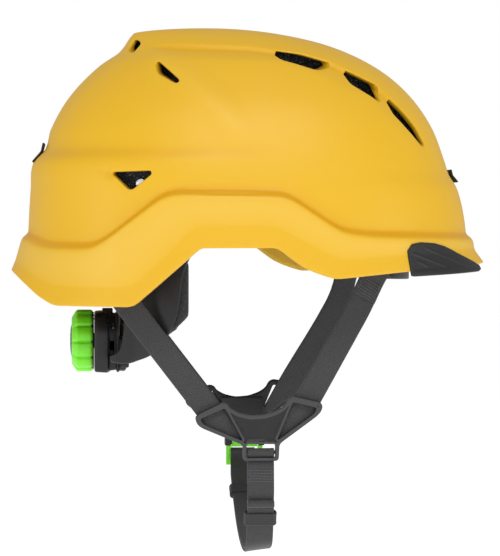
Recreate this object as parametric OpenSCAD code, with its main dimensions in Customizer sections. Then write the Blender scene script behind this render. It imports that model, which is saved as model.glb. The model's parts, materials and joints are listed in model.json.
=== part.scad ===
// Arborist helmet: vented shell, foam liner, headband with nape ratchet, and chin harness.
// Frame: +X to the front, +Y to the wearer's left, +Z up. The origin is the headband's centre.

/* [Shell] */
// Height of the crown above the headband centre
crown_z = 135; // [132:1:138]
// Thickness of the moulded shell wall
wall = 3; // [2.5:0.1:3.5]
// How far the skirt stands out from the dome at the ledge
skirt_step = 5; // [4:0.5:6]
// Squareness of the plan outline, 2 is an ellipse
squareness = 2.35; // [2.2:0.05:2.5]

/* [Liner and headband] */
// Thickness of the foam liner
liner_t = 18; // [16:1:19]
// Height of the liner's lower face
liner_z = 3; // [3:1:4]
// Thickness of the headband strip
band_t = 2; // [1.6:0.1:2.2]
// Thickness of the foam pads
pad_t = 5; // [4:0.5:6]

/* [Nape ratchet] */
// Outer diameter of the adjusting knob
knob_d = 40; // [36:1:40]
// Number of grip lobes on the knob
knob_lobes = 11; // [9:1:13]
// Height of the knob's axis
knob_z = -64.5; // [-66:0.5:-63]

/* [Harness] */
// Width of the side strap webbing
side_w = 15.5; // [14:0.5:16]
// Width of the chin strap webbing
chin_w = 16.5; // [15:0.5:16.5]
// Thickness of the webbing
web_t = 1.4; // [1.2:0.1:1.5]
// Distance of each side strap's plane from the middle of the helmet
strap_y = 74; // [73:0.5:75]
// Thickness of the strap dividers
divider_t = 3; // [2.6:0.1:3.2]

/* [Hidden] */
$fn = 48;

yellow = "#E4B742";
black = "#2C2C2E";
grey = "#44464A";
green = "#5FC81A";
foam = "#26272A";
steel = "#B9BDC2";

// Run of the dome's outline against sqrt(1 - z / crown_z): 0 is the crown, 1 the headband's height
front_run = [[0, -20], [0.16, 20.7], [0.28, 51.6], [0.43, 82.6], [0.55, 102], [0.68, 117.4],
    [0.8, 126.5], [0.83, 128.5], [0.87, 134], [0.95, 138.7], [1.05, 141], [1.16, 143]];
rear_run = [[0, 40], [0.13, 72], [0.17, 74.5], [0.33, 82.6], [0.42, 95.5], [0.57, 114.8],
    [0.69, 126.5], [0.755, 130], [0.8, 138], [0.87, 139.5], [1, 141.3], [1.16, 143]];
side_run = [[0, 12], [0.08, 20], [0.19, 33], [0.31, 47], [0.41, 60], [0.51, 71.5], [0.64, 86],
    [0.75, 95.5], [0.84, 101.5], [0.92, 105], [1, 107], [1.16, 109]];
// Heights of the rim, the lower crease and the ledge against the fore-and-aft place, -1 to 1
rim_line = [[-1, -18.6], [-0.95, -25], [-0.88, -34], [-0.82, -39], [-0.5, -39], [-0.22, -3.7],
    [0.1, -3.6], [0.2, -15], [0.25, -18.5], [0.33, -22.5], [0.6, -18.5], [1, -14]];
crease_line = [[-1, -12], [-0.9, -24], [-0.8, -28], [-0.5, -28], [-0.3, 0], [-0.25, 9], [0.09, 9],
    [0.2, 0], [0.35, -12], [0.6, -9], [1, -6]];
ledge_line = [[-1, 5.5], [-0.9, -1], [-0.69, -1.3], [-0.64, 2.3], [-0.39, 29.5], [-0.34, 31.5],
    [0, 31], [0.15, 30], [0.37, 8.3], [0.5, 6], [1, 4]];
columns = 80;
dome_z = [36, 40, 44, 49, 58, 70, 82, 94, 105, 114, 122, 128, 132];
liner_gap = 0.8;
plan_mid = -5;

function seg(p, v, i = 0) = i >= len(p) - 2 || v < p[i + 1][0] ? i : seg(p, v, i + 1);
function slope(p, i) =
    let (a = max(0, i - 1), b = min(len(p) - 1, i + 1))
    (p[b][1] - p[a][1]) / (p[b][0] - p[a][0]);
// Smooth curve through the points of p, at v
function curve(p, v) =
    let (i = seg(p, v), h = p[i + 1][0] - p[i][0], t = (v - p[i][0]) / h)
    (2 * t ^ 3 - 3 * t ^ 2 + 1) * p[i][1] + (t ^ 3 - 2 * t ^ 2 + t) * h * slope(p, i)
    + (3 * t ^ 2 - 2 * t ^ 3) * p[i + 1][1] + (t ^ 3 - t ^ 2) * h * slope(p, i + 1);

function fore(a) = cos(a);
function across(a) = sign(sin(a)) * (1 - min(1, abs(cos(a)) ^ squareness)) ^ (1 / squareness);
// Point of the dome in column a at height z, inset by d and let out by flare
function dome(a, z, d = 0, flare = 0) =
    let (s = sqrt(max(0, 1 - z / (crown_z - d))),
        grow = flare - d * min(1, 2 * s),
        u = fore(a),
        mid = plan_mid - 25 * max(0, 1 - 2.5 * s) ^ 2,
        reach = u > 0 ? curve(front_run, s) + grow - mid : curve(rear_run, s) + grow + mid)
    [mid + reach * u, (curve(side_run, s) + grow) * across(a), z];
function angles() = [for (k = [0:columns - 1]) 360 * k / columns];
function level(z, d = 0) = [for (a = angles()) dome(a, z, d)];
function skirt(line, drop, d, flare) =
    [for (a = angles()) dome(a, lookup(fore(a), line) - drop, d, flare + (flare ? 3 * fore(a) ^ 4 : 0))];
function backwards(list) = [for (i = [len(list) - 1:-1:0]) list[i]];
function sum(list, i = 0) = i == len(list) - 1 ? list[i] : list[i] + sum(list, i + 1);

// Closed solid over a run of rings, each end closed to its middle
module skin(rings) {
    n = len(rings[0]);
    m = len(rings);
    first = n * m;
    points = [for (r = rings) each r, sum(rings[0]) / n, sum(rings[m - 1]) / n];
    faces = [
        for (i = [0:m - 2]) for (k = [0:n - 1]) let (j = (k + 1) % n)
            each [[i * n + k, (i + 1) * n + k, (i + 1) * n + j], [i * n + k, (i + 1) * n + j, i * n + j]],
        for (k = [0:n - 1]) let (j = (k + 1) % n)
            each [[first, k, j], [first + 1, (m - 1) * n + j, (m - 1) * n + k]]
    ];
    polyhedron(points, faces, convexity = 10);
}

// Strip of thickness t standing along stations [x, y, low, high]
module ribbon(stations, t) {
    last = len(stations) - 1;
    skin([for (i = [0:last])
        let (p = stations[i],
            q = stations[min(last, i + 1)] - stations[max(0, i - 1)],
            n = [q[1], -q[0]] / norm([q[0], q[1]]) * t / 2)
        [[p[0] - n[0], p[1] - n[1], p[2]], [p[0] - n[0], p[1] - n[1], p[3]],
            [p[0] + n[0], p[1] + n[1], p[3]], [p[0] + n[0], p[1] + n[1], p[2]]]]);
}

// Side +1 is the wearer's left, side -1 the right
module on_side(side) {
    if (side > 0) children();
    else mirror([0, 1, 0]) children();
}

// Plate on the outline of its children, drawn as (x, z), from y to y + t
module upright(y, t) {
    translate([0, y + t, 0]) rotate([90, 0, 0]) linear_extrude(t) children();
}

// Plate on the outline of its children, drawn as (y, z), from x to x + t
module facing(x, t) {
    translate([x, 0, 0]) rotate([90, 0, 90]) linear_extrude(t) children();
}

// Rod along X or along Y
module rod_x(x, y, z, r, length) {
    translate([x, y, z]) rotate([0, 90, 0]) cylinder(r = r, h = length);
}
module rod_y(x, y, z, r, length) {
    translate([x, y, z]) rotate([-90, 0, 0]) cylinder(r = r, h = length);
}

// ---- Shell ----
top_vents = [
    [[13, 118], [29, 115.8], [47.8, 110.5], [41.6, 107.4], [37.6, 107.4], [17, 113.6]],
    [[56.5, 106.2], [76.8, 96.9], [78.7, 86.9], [60.3, 98.7]],
    [[83.9, 88.8], [94.1, 78.8], [101.3, 69.8], [106.9, 58.9], [87.3, 80.1]],
    [[-59.3, 110.5], [-47.1, 98.3], [-49.3, 97.3], [-59.7, 103.9], [-60.3, 108.7]]
];
rear_slot = [[-72.3, 127.5], [-70, 125], [-75, 119], [-77, 120.2]];
side_vent = [[-88.2, 41.5], [-65.2, 42.2], [-65.2, 40.7], [-76.3, 31.9], [-78.7, 31.9]];
slot_x = [-32.8, -1];
slot_y = [105.8, 109.4];

module outer_shell() {
    inner = [level(crown_z - wall - 0.1, wall),
        for (z = backwards(dome_z)) if (z < crown_z - wall - 1) level(z, wall),
        skirt(ledge_line, 1, wall, 0), skirt(ledge_line, 4, wall, skirt_step),
        skirt(crease_line, 0, wall, skirt_step + 0.6), skirt(rim_line, 0, wall, skirt_step + 1.6)];
    outer = [skirt(rim_line, 0, 0, skirt_step + 1.6), skirt(crease_line, 0, 0, skirt_step + 0.6),
        skirt(ledge_line, 3.5, 0, skirt_step), skirt(ledge_line, 0, 0, 0),
        for (z = dome_z) level(z), level(crown_z - 0.1)];
    color(yellow) difference() {
        skin([each inner, each outer]);
        for (side = [-1, 1]) on_side(side) {
            for (v = top_vents) upright(30, 80) polygon(v);
            upright(12, 30) polygon(rear_slot);
            upright(60, 60) polygon(side_vent);
            translate([slot_x[0], slot_y[0], 24]) cube([slot_x[1] - slot_x[0], slot_y[1] - slot_y[0], 12]);
        }
    }
}

function insert_station(a) =
    let (p = dome(a, -12, 0, skirt_step + 1.5 + 3 * fore(a) ^ 4), n = [cos(a * 1.1), sin(a * 1.1)])
    [p[0] + 1.5 * n[0], p[1] + 1.5 * n[1], -18, lookup(a, [[18, -14], [36, -9], [46, -5]])];
module brim_insert(side) {
    color(black) on_side(side) ribbon([for (a = [18:4:46]) insert_station(a)], 1.4);
}

module lamp_clip(outline) {
    color(black) upright(-16, 32) polygon(outline);
}
module front_clip() {
    lamp_clip([[129.4, 47], [131, 47], [132.2, 42], [137, 36.2], [136.2, 35.2], [131, 41]]);
}
module rear_clip() {
    lamp_clip([[-131.2, 63], [-132.8, 63], [-134.2, 56.8], [-140.8, 49.2], [-140, 48.2], [-133, 56]]);
}

// ---- Liner ----
anchor_x = [81, -98];
peg_x = [79, -92];
peg_y = [79, 70];
peg_size = [10, 6, 9];

rivet_at = [-71, 35];

module impact_liner() {
    d_out = wall + liner_gap;
    d_in = d_out + liner_t;
    top_in = crown_z - d_in;
    inner = [level(top_in - 0.1, d_in), for (z = backwards(dome_z)) if (z < top_in - 2) level(z, d_in),
        level(20, d_in), level(liner_z, d_in)];
    outer = [level(liner_z, d_out), for (z = dome_z) if (z < crown_z - d_out - 2) level(z, d_out),
        level(crown_z - d_out - 0.1, d_out)];
    color(foam) difference() {
        skin([each inner, each outer]);
        for (side = [-1, 1], i = [0, 1])
            on_side(side) translate([peg_x[i] - peg_size[0] / 2 - 0.2, peg_y[i] - peg_size[1] / 2 - 0.2, 0])
                cube([peg_size[0] + 0.4, peg_size[1] + 0.4, liner_z + peg_size[2] + 0.3]);
        for (side = [-1, 1]) on_side(side) rod_y(rivet_at[0], 84.8, rivet_at[1], 3.2, 10);
    }
}

module crown_pad() {
    color(grey) hull() {
        translate([-30, 0, 100]) scale([1, 0.66, 1]) cylinder(r = 30, h = 2, $fn = 32);
        translate([-30, 0, 107]) scale([1, 0.66, 1]) cylinder(r = 24, h = 1.5, $fn = 32);
    }
}

module liner_rivets() {
    color(steel) for (side = [-1, 1]) on_side(side) rod_y(rivet_at[0], 85, rivet_at[1], 3, 3.4);
}

// ---- Headband ----
band_path = [[-44, 79.6], [-20, 80.4], [12, 80], [40, 74.5], [66, 61], [86, 44], [99, 22], [103, 0]];
function band_low(x) = lookup(x, [[-44, -3], [14, -3], [40, -12], [66, -23], [103, -25]]);
function band_high(x) = lookup(x, [[-44, 14], [14, 14], [60, 4], [103, 2]]);
function band_station(x, y, shrink = 0, side = 1) =
    [x, side * y, band_low(x) + shrink, band_high(x) - shrink];
pivot = [-38, 3];

module headband() {
    right = [for (p = band_path) band_station(p[0], p[1], 0, -1)];
    left = [for (p = backwards(band_path)) if (p[1] > 0) band_station(p[0], p[1])];
    color(black) difference() {
        ribbon([each right, each left], band_t);
        for (side = [-1, 1]) on_side(side) rod_y(pivot[0], 70, pivot[1], 2.56, 20);
    }
}

module brow_pad() {
    front = [for (p = band_path) if (p[0] > 60) p];
    right = [for (p = front) band_station(p[0] - 4.4, p[1] * 0.95, 1.5, -1)];
    left = [for (p = backwards(front)) if (p[1] > 0) band_station(p[0] - 4.4, p[1] * 0.95, 1.5)];
    color(grey) ribbon([each right, each left], pad_t);
}

module temple_pins() {
    color(black) for (side = [-1, 1]) on_side(side) {
        rod_y(pivot[0], 72, pivot[1], 2.5, 9.3);
        rod_y(pivot[0], 81.15, pivot[1], 3.6, 0.9);
    }
}

// ---- Nape arms and ratchet ----
arm_path = [[-30, 74.6, -3, 11], [-40, 74, -9, 12], [-46, 73, -14, 10], [-49, 72.2, -48, 8],
    [-55, 70, -58, 2], [-64, 65.2, -71, -8], [-74, 58, -75, -22], [-82, 51.2, -76, -36],
    [-87, 46.5, -76, -46], [-88.4, 44, -76, -50]];
rack_x = -89.4;
rack_t = 2.2;
rack_inner_end = -15;
gear_m = 1;
pinion_teeth = 12;
pitch_r = gear_m * pinion_teeth / 2;
pitch = PI * gear_m;

module rack_outline() {
    translate([rack_inner_end, knob_z + pitch_r + 1.35]) square([45.5 - rack_inner_end, 3.6]);
    for (k = [-5:8]) translate([(k + 0.5) * pitch, knob_z + pitch_r])
        polygon([[-1, 1.4], [-0.62, 0], [-0.35, -0.95], [0.35, -0.95], [0.62, 0], [1, 1.4]]);
}

// The left arm's rack runs over the pinion and the right arm's under it
module nape_arm(side) {
    color(grey) on_side(side) {
        difference() {
            union() {
                ribbon(arm_path, 2);
                rod_y(pivot[0], 73.2, pivot[1], 6.5, 2.6);
            }
            rod_y(pivot[0], 70, pivot[1], 2.56, 9);
        }
        if (side > 0) facing(rack_x, rack_t) rack_outline();
        else facing(rack_x, rack_t) translate([0, 2 * knob_z]) mirror([0, 1]) rack_outline();
    }
}

pad_path = [[-40.5, 69.8, -46, -12], [-47, 68.6, -53, -10], [-54, 66, -60, -8], [-62, 61.6, -68, -14],
    [-71, 55, -71, -26], [-79, 48.2, -71, -38]];
module nape_pad(side) {
    color(grey) on_side(side) ribbon(pad_path, pad_t - 0.6);
}

module housing_outline(shrink = 0) {
    hull() {
        translate([0, knob_z]) circle(r = 19 - shrink, $fn = 64);
        for (side = [-1, 1]) translate([side * 18, knob_z]) circle(r = 12 - shrink, $fn = 32);
    }
}

module ratchet_base() {
    color(black) difference() {
        facing(-90.3, 7.1) housing_outline();
        translate([-91, -32, knob_z - 11.4]) cube([4.6, 64, 22.8]);
        rod_x(-87, 0, knob_z, 2.56, 3);
        for (y = [-15, 15]) rod_x(-91, y, knob_z + 13.2, 1.3, 5);
    }
}
module ratchet_cover() {
    color(black) difference() {
        union() {
            facing(-98.9, 8.4) housing_outline(0.6);
            translate([-96.5, -8, knob_z + 17]) cube([6, 16, 3.8]);
        }
        rod_x(-100, 0, knob_z, 4.98, 12);
        rod_x(-99.5, 0, knob_z, 14.5, 2.6);
        for (y = [-15, 15]) rod_x(-100, y, knob_z + 13.2, 1.3, 12);
    }
}
module housing_screws() {
    color(steel) for (y = [-15, 15]) {
        rod_x(-97.9, y, knob_z + 13.2, 1.25, 11);
    }
}
module detent_spring() {
    color(steel) translate([-98.6, -5.5, knob_z + 12.6]) cube([1.2, 11, 0.5]);
}
module pinion_outline() {
    translate([0, knob_z]) {
        circle(r = 4.9);
        for (k = [0:pinion_teeth - 1]) rotate(360 * k / pinion_teeth)
            polygon([[4.4, -1], [6, -0.6], [6.95, -0.3], [6.95, 0.3], [6, 0.6], [4.4, 1]]);
    }
}
module pinion() {
    color(grey) difference() {
        union() {
            facing(-89.6, 2.6) pinion_outline();
            rod_x(-101, 0, knob_z, 4.9, 12);
            rod_x(-87.2, 0, knob_z, 2.5, 3);
        }
        rod_x(-102, 0, knob_z, 1.55, 12);
    }
}
module ratchet_ring() {
    color(black) difference() {
        rod_x(-101.3, 0, knob_z, knob_d / 2 - 1.4, 2);
        rod_x(-102, 0, knob_z, 5, 4);
    }
}
module knob() {
    color(green) difference() {
        rod_x(-113.5, 0, knob_z, knob_d / 2, 12.1);
        for (k = [0:knob_lobes - 1]) translate([0, 0, knob_z]) rotate([360 * (k + 0.5) / knob_lobes, 0, 0])
            rod_x(-114, 0, knob_d / 2 + 6.4, 7.4, 14);
        rod_x(-114, 0, knob_z, 11.2, 3);
        rod_x(-114, 0, knob_z, 1.7, 14);
        rod_x(-105.4, 0, knob_z, 5, 5);
    }
}
module knob_cap() {
    color(black) rod_x(-114.2, 0, knob_z, 11, 1.4);
}
module knob_screw() {
    color(steel) {
        rod_x(-110.9, 0, knob_z, 1.5, 18);
        rod_x(-112.6, 0, knob_z, 3, 1.5);
    }
}
module neck_pad() {
    color(grey) facing(-83, 4.4) translate([0, -2]) offset(r = 6, $fn = 32) offset(delta = -6)
        translate([-24, knob_z - 14]) square([48, 27]);
}

// ---- Strap anchors and side straps ----
hang_z = [-6, -14];
front_dir = atan2(40, 71.9);
rear_dir = -atan2(60, 78.3);
ear_gap = 10.4;
ear_t = 1.4;
ear_r = 4;
// The hinge line runs from the rear pin to the front pin, a little uphill
hinge_tilt = atan2(hang_z[0] - hang_z[1], anchor_x[0] - anchor_x[1]);

module hinge_rod(i, r, length) {
    translate([anchor_x[i], strap_y, hang_z[i]]) rotate([0, 90 - hinge_tilt, 0])
        cylinder(r = r, h = length, center = true);
}

module anchor(i, side) {
    x = anchor_x[i];
    half_x = ear_gap / 2 + ear_t;
    low_y = min(strap_y - ear_r, peg_y[i] - peg_size[1] / 2);
    high_y = max(strap_y + 2.6, peg_y[i] + peg_size[1] / 2);
    color(black) on_side(side) {
        translate([min(x, peg_x[i]) - half_x, low_y, liner_z - 3])
            cube([abs(x - peg_x[i]) + 2 * half_x, high_y - low_y, 2.7]);
        translate([peg_x[i] - peg_size[0] / 2, peg_y[i] - peg_size[1] / 2, liner_z - 1])
            cube([peg_size[0], peg_size[1], peg_size[2] + 1]);
        for (ear = [0, 1]) translate([x - half_x + ear * (ear_gap + ear_t), 0, 0]) {
            rod_x(0, strap_y, hang_z[i], ear_r, ear_t);
            translate([0, strap_y - ear_r, hang_z[i]]) cube([ear_t, ear_r + 2.6, liner_z - hang_z[i] - 1]);
        }
        hinge_rod(i, 2, ear_gap + 1.4);
    }
}

// Local frame of a strap: the origin on the hinge pin, -Z down the strap
module along(i) {
    translate([anchor_x[i], strap_y, hang_z[i]]) rotate([0, i == 0 ? front_dir : rear_dir, 0]) children();
}
module strap_end(i, side) {
    color(black) on_side(side) difference() {
        union() {
            hinge_rod(i, 3.6, ear_gap - 0.8);
            along(i) upright(-1.5, 3) difference() {
                polygon([[-4, -1], [4, -1], [10, -6.4], [10, -13.2], [-10, -13.2], [-10, -6.4]]);
                translate([-8.1, -10.9]) square([16.2, 3.5]);
            }
        }
        hinge_rod(i, 2.06, 16);
        for (ear = [-1, 1]) translate([anchor_x[i] + ear * (ear_gap / 2 + 4.7), strap_y, hang_z[i]])
            cube([10, 8, 2 * ear_r + 1.2], center = true);
    }
}

// Webbing folded round the bar of its strap end and sewn to itself
module web_run(i, length) {
    along(i) {
        facing(-side_w / 2, side_w) difference() {
            translate([-3.3, -18]) square([6.6, 9.9]);
            translate([-1.9, -13.6]) square([3.8, 4.1]);
        }
        translate([-side_w / 2, -web_t / 2, -length]) cube([side_w, web_t, length - 17]);
    }
}
fold_z = -121.9;
module side_strap(side) {
    color(grey) on_side(side) intersection() {
        union() {
            web_run(0, 136);
            web_run(1, 140);
            translate([-14, strap_y - web_t / 2, fold_z]) cube([30, web_t, 9]);
        }
        translate([-120, strap_y - 6, fold_z]) cube([240, 12, 120]);
    }
}

// ---- Strap dividers ----
divider_top = [[-36.8, -111.9], [-37.8, -107.6], [-35.5, -105.6], [-21, -98.6], [-17.7, -99.6], [-16, -102.4],
    [-11, -105.2], [-3.6, -107], [5.2, -106.4], [12.5, -103.9], [17.1, -100.9], [19.3, -96.6], [22.3, -95.2],
    [25, -95.6], [39.5, -99], [40.7, -101.3], [39.8, -104.6], [37, -107.6], [14, -124.4]];
chin_slot_foot = [[13.6, -134.8], [-8.4, -134.8], [-8.4, -125], [-33.7, -114.4]];
buckle_foot = [[10.6, -124.4], [10.6, -127], [-5.4, -127], [-5.4, -125.8], [-33.7, -114.4]];
chin_x = 2.6;
bar_z = [-134.8, -132.8];
window_rear = [[-34.6, -108.9], [-19.5, -102.3], [-8.5, -122.4], [-32.6, -111.9]];
window_front = [[22.3, -98.8], [37, -102.4], [35, -106], [12.7, -122]];
divider_y = strap_y + web_t / 2 + 0.3;

module divider_outline(slot) {
    difference() {
        polygon([each divider_top, each (slot ? chin_slot_foot : buckle_foot)]);
        polygon(window_rear);
        polygon(window_front);
        if (slot) translate([chin_x - 8.8, bar_z[1]]) square([17.6, 8.4]);
    }
}
peg_at = [[-2, -111], [6, -111]];
module divider(side) {
    color(black) on_side(side) difference() {
        upright(divider_y, divider_t) divider_outline(side < 0);
        for (p = peg_at) rod_y(p[0], divider_y - 1, p[1], 1.25, 3);
    }
}
module divider_back(side) {
    back_y = strap_y - web_t / 2 - 0.3 - 1.6;
    color(black) on_side(side) {
        upright(back_y, 1.6) polygon([[-13, -107.5], [15, -107.5], [16, -121.8], [-13, -121.8]]);
        for (p = peg_at) rod_y(p[0], back_y + 1, p[1], 1.2, divider_y + 1.8 - back_y - 1);
    }
}

// ---- Buckle ----
tongue_y = strap_y + 0.1;
tongue_t = 2.2;
socket_z = [-139.6, -122.2];
module buckle_socket() {
    y0 = strap_y - 4.2;
    color(black) difference() {
        translate([chin_x - 13.2, y0, socket_z[0]]) cube([26.4, 9.6, socket_z[1] - socket_z[0]]);
        translate([chin_x - 8.15, divider_y - 0.15, -127.2]) cube([16.3, divider_t + 0.3, 8]);
        translate([chin_x - 14, divider_y - 0.15, -126]) cube([28, divider_t + 0.3, 5]);
        translate([chin_x - 9.4, y0 - 1, -140]) cube([18.8, 7, 11]);
        rod_y(chin_x, y0 + 4, -134, 4.12, 8);
    }
}
module release_button() {
    color(green) rod_y(chin_x, tongue_y + tongue_t / 2 + 1.5, -134, 4, 4.4);
}
tongue_bar_z = -144.8;
module buckle_tongue() {
    color(green) upright(tongue_y - tongue_t / 2, tongue_t) difference() {
        union() {
            translate([chin_x - 8.6, -141]) square([17.2, 11.6]);
            translate([chin_x - 12.4, -153]) square([24.8, 13]);
        }
        translate([chin_x - 9, -143.6]) square([18, 2.9]);
        translate([chin_x - 9, -151.4]) square([18, 5.4]);
    }
}

// ---- Chin strap ----
bar_y = strap_y + web_t / 2 + 0.3 + divider_t / 2;
loop_r = 2.85;
function arc(c, r, a0, a1, n) = [for (i = [0:n]) let (a = a0 + (a1 - a0) * i / n) c + r * [cos(a), sin(a)]];
function bezier(a, b, c, d, n) =
    [for (i = [0:n]) let (t = i / n, s = 1 - t)
        s ^ 3 * a + 3 * s * s * t * b + 3 * s * t * t * c + t ^ 3 * d];
near_top = [-76.6, -155];
near_end = [-65.5, -183];
far_start = [24, -176];
far_end = [61, -155.5];
chin_main = [near_top, each bezier(near_end, [-59, -199.5], [-14, -199], far_start, 14), far_end];
function normal_at(p, i) =
    let (q = p[min(len(p) - 1, i + 1)] - p[max(0, i - 1)]) [q[1], -q[0]] / norm(q);
chin_tail = [for (i = [0:len(chin_main) - 1]) chin_main[i] + (web_t + 0.35) * normal_at(chin_main, i)];
near_loop = arc([-bar_y, (bar_z[0] + bar_z[1]) / 2], loop_r, -55, 235, 12);
far_loop = arc([tongue_y, tongue_bar_z], loop_r, 195, -62, 12);
tail_end = chin_tail[0] + (chin_tail[1] - chin_tail[0]) * 0.28;
chin_path = [[-75.5, -149], [-75.5, -140], each near_loop, [-77.3, -140], [-77.3, -150], each chin_main,
    [67, -151], each far_loop, [69.8, -151.3],
    each [for (i = [len(chin_tail) - 1:-1:1]) chin_tail[i]], tail_end];

module strip(path, t) {
    n = len(path) - 1;
    polygon([each [for (i = [0:n]) path[i] + t / 2 * normal_at(path, i)],
        each [for (i = [n:-1:0]) path[i] - t / 2 * normal_at(path, i)]]);
}
module chin_strap() {
    color(grey) {
        facing(chin_x - chin_w / 2, chin_w) strip(chin_path, web_t);
        rod_x(chin_x - chin_w / 2, tail_end[0] - 0.6, tail_end[1] - 0.2, 1.9, chin_w);
    }
}

// Sliding loop round both layers of the chin strap, centred on c and turned to the strap's run
keeper_len = 8.6;
module keeper(c, run) {
    color(black) translate([chin_x, c[0], c[1]]) rotate([atan2(run[1], run[0]), 0, 0]) difference() {
        cube([20.2, keeper_len, 6.2], center = true);
        cube([17.4, keeper_len + 2, 3.9], center = true);
    }
}
near_run = (near_end - near_top) / norm(near_end - near_top);
far_run = (far_end - far_start) / norm(far_end - far_start);
half_pair = (web_t + 0.35) / 2;
near_at = near_top + 18 * near_run + half_pair * [near_run[1], -near_run[0]];
far_at = far_start + 20 * far_run + half_pair * [far_run[1], -far_run[0]];

outer_shell();
brim_insert(1);  // brim_insert_left
brim_insert(-1);  // brim_insert_right
front_clip();
rear_clip();
impact_liner();
crown_pad();
liner_rivets();
headband();
brow_pad();
temple_pins();
nape_arm(1);  // nape_arm_left
nape_arm(-1);  // nape_arm_right
nape_pad(1);  // nape_pad_left
nape_pad(-1);  // nape_pad_right
neck_pad();
ratchet_base();
ratchet_cover();
housing_screws();
detent_spring();
pinion();
ratchet_ring();
knob();
knob_cap();
knob_screw();
anchor(0, 1);  // anchor_front_left
anchor(0, -1);  // anchor_front_right
anchor(1, 1);  // anchor_rear_left
anchor(1, -1);  // anchor_rear_right
strap_end(0, 1);  // strap_end_front_left
strap_end(0, -1);  // strap_end_front_right
strap_end(1, 1);  // strap_end_rear_left
strap_end(1, -1);  // strap_end_rear_right
side_strap(1);  // side_strap_left
side_strap(-1);  // side_strap_right
divider(1);  // divider_left
divider(-1);  // divider_right
divider_back(1);  // divider_back_left
divider_back(-1);  // divider_back_right
buckle_socket();
release_button();
buckle_tongue();
chin_strap();
keeper(near_at, near_run);  // keeper_right
keeper(far_at, far_run);  // keeper_left
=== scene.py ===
import json
import math
from contextlib import contextmanager

import bmesh
import bpy
import numpy as np
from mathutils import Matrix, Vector
from mathutils.geometry import delaunay_2d_cdt
from mathutils.kdtree import KDTree

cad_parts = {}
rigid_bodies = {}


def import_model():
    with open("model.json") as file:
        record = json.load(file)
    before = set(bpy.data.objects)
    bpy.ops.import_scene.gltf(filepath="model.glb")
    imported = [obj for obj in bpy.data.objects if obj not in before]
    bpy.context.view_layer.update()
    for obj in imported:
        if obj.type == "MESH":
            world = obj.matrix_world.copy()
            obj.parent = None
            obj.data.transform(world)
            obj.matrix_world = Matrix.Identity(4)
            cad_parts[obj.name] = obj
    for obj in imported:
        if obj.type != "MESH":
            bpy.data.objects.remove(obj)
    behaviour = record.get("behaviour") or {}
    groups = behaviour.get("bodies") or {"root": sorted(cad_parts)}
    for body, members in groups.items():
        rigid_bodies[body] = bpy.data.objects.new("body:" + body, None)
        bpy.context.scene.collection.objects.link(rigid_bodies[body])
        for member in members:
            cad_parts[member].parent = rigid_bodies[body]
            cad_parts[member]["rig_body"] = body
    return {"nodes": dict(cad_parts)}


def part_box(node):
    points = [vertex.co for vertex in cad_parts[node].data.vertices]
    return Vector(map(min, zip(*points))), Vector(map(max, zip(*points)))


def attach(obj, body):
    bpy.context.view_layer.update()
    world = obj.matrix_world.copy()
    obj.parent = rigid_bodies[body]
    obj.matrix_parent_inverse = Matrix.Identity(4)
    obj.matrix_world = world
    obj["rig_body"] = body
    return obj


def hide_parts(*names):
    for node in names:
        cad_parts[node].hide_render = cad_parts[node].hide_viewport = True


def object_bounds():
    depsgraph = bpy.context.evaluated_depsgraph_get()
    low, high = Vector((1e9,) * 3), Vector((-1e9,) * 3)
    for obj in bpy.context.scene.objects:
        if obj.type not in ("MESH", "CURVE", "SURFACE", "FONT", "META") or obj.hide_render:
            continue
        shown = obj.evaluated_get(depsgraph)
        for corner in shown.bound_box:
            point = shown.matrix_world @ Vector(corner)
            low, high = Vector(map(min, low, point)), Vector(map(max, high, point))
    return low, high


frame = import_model()
cad_low, cad_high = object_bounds()

# ==== Studio ====
# A light tent: pale floor, white surroundings, and soft boxes in front and to both sides.
# The helmet hangs freely, seen square on from its right side by a long lens.
MM = 0.001
scene = bpy.context.scene
scene.view_settings.view_transform = "Standard"


def placed(name, data):
    """A new object in the scene."""
    thing = bpy.data.objects.new(name, data)
    scene.collection.objects.link(thing)
    return thing


def linear(colour):
    """'#RRGGBB' in sRGB to a linear RGBA value."""
    parts = [int(colour[i:i + 2], 16) / 255 for i in (1, 3, 5)]
    return [c / 12.92 if c <= 0.04045 else ((c + 0.055) / 1.055) ** 2.4 for c in parts] + [1.0]


def add(tree, kind, inputs=None, **settings):
    """Adds a node; each input is a value, or the socket that feeds it."""
    node = tree.nodes.new(kind)
    for name, value in settings.items():
        setattr(node, name, value)
    for name, value in (inputs or {}).items():
        if isinstance(value, bpy.types.NodeSocket):
            tree.links.new(value, node.inputs[name])
        else:
            node.inputs[name].default_value = value
    return node


def surface_material(name, roughness, **constants):
    """An empty material with a Principled shader: returns the material, its tree and the shader."""
    material = bpy.data.materials.new(name)
    material.use_nodes = True
    tree = material.node_tree
    shader = tree.nodes["Principled BSDF"]
    shader.inputs["Roughness"].default_value = roughness
    for socket, value in constants.items():
        shader.inputs[socket.replace("_", " ")].default_value = value
    return material, tree, shader


aim = Vector((0.0013, 0, -0.0245))
camera_turn, camera_rise, camera_far = math.radians(-4), math.radians(1.5), 1.5
camera = placed("camera", bpy.data.cameras.new("camera"))
camera.data.lens = 150.5
camera.data.sensor_width = 36
camera.location = aim + camera_far * Vector((
    math.sin(camera_turn) * math.cos(camera_rise),
    -math.cos(camera_turn) * math.cos(camera_rise),
    math.sin(camera_rise)))
camera.rotation_euler = (aim - camera.location).to_track_quat("-Z", "Y").to_euler()
scene.camera = camera

world = bpy.data.worlds.new("light_tent")
scene.world = world
world.use_nodes = True
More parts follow.
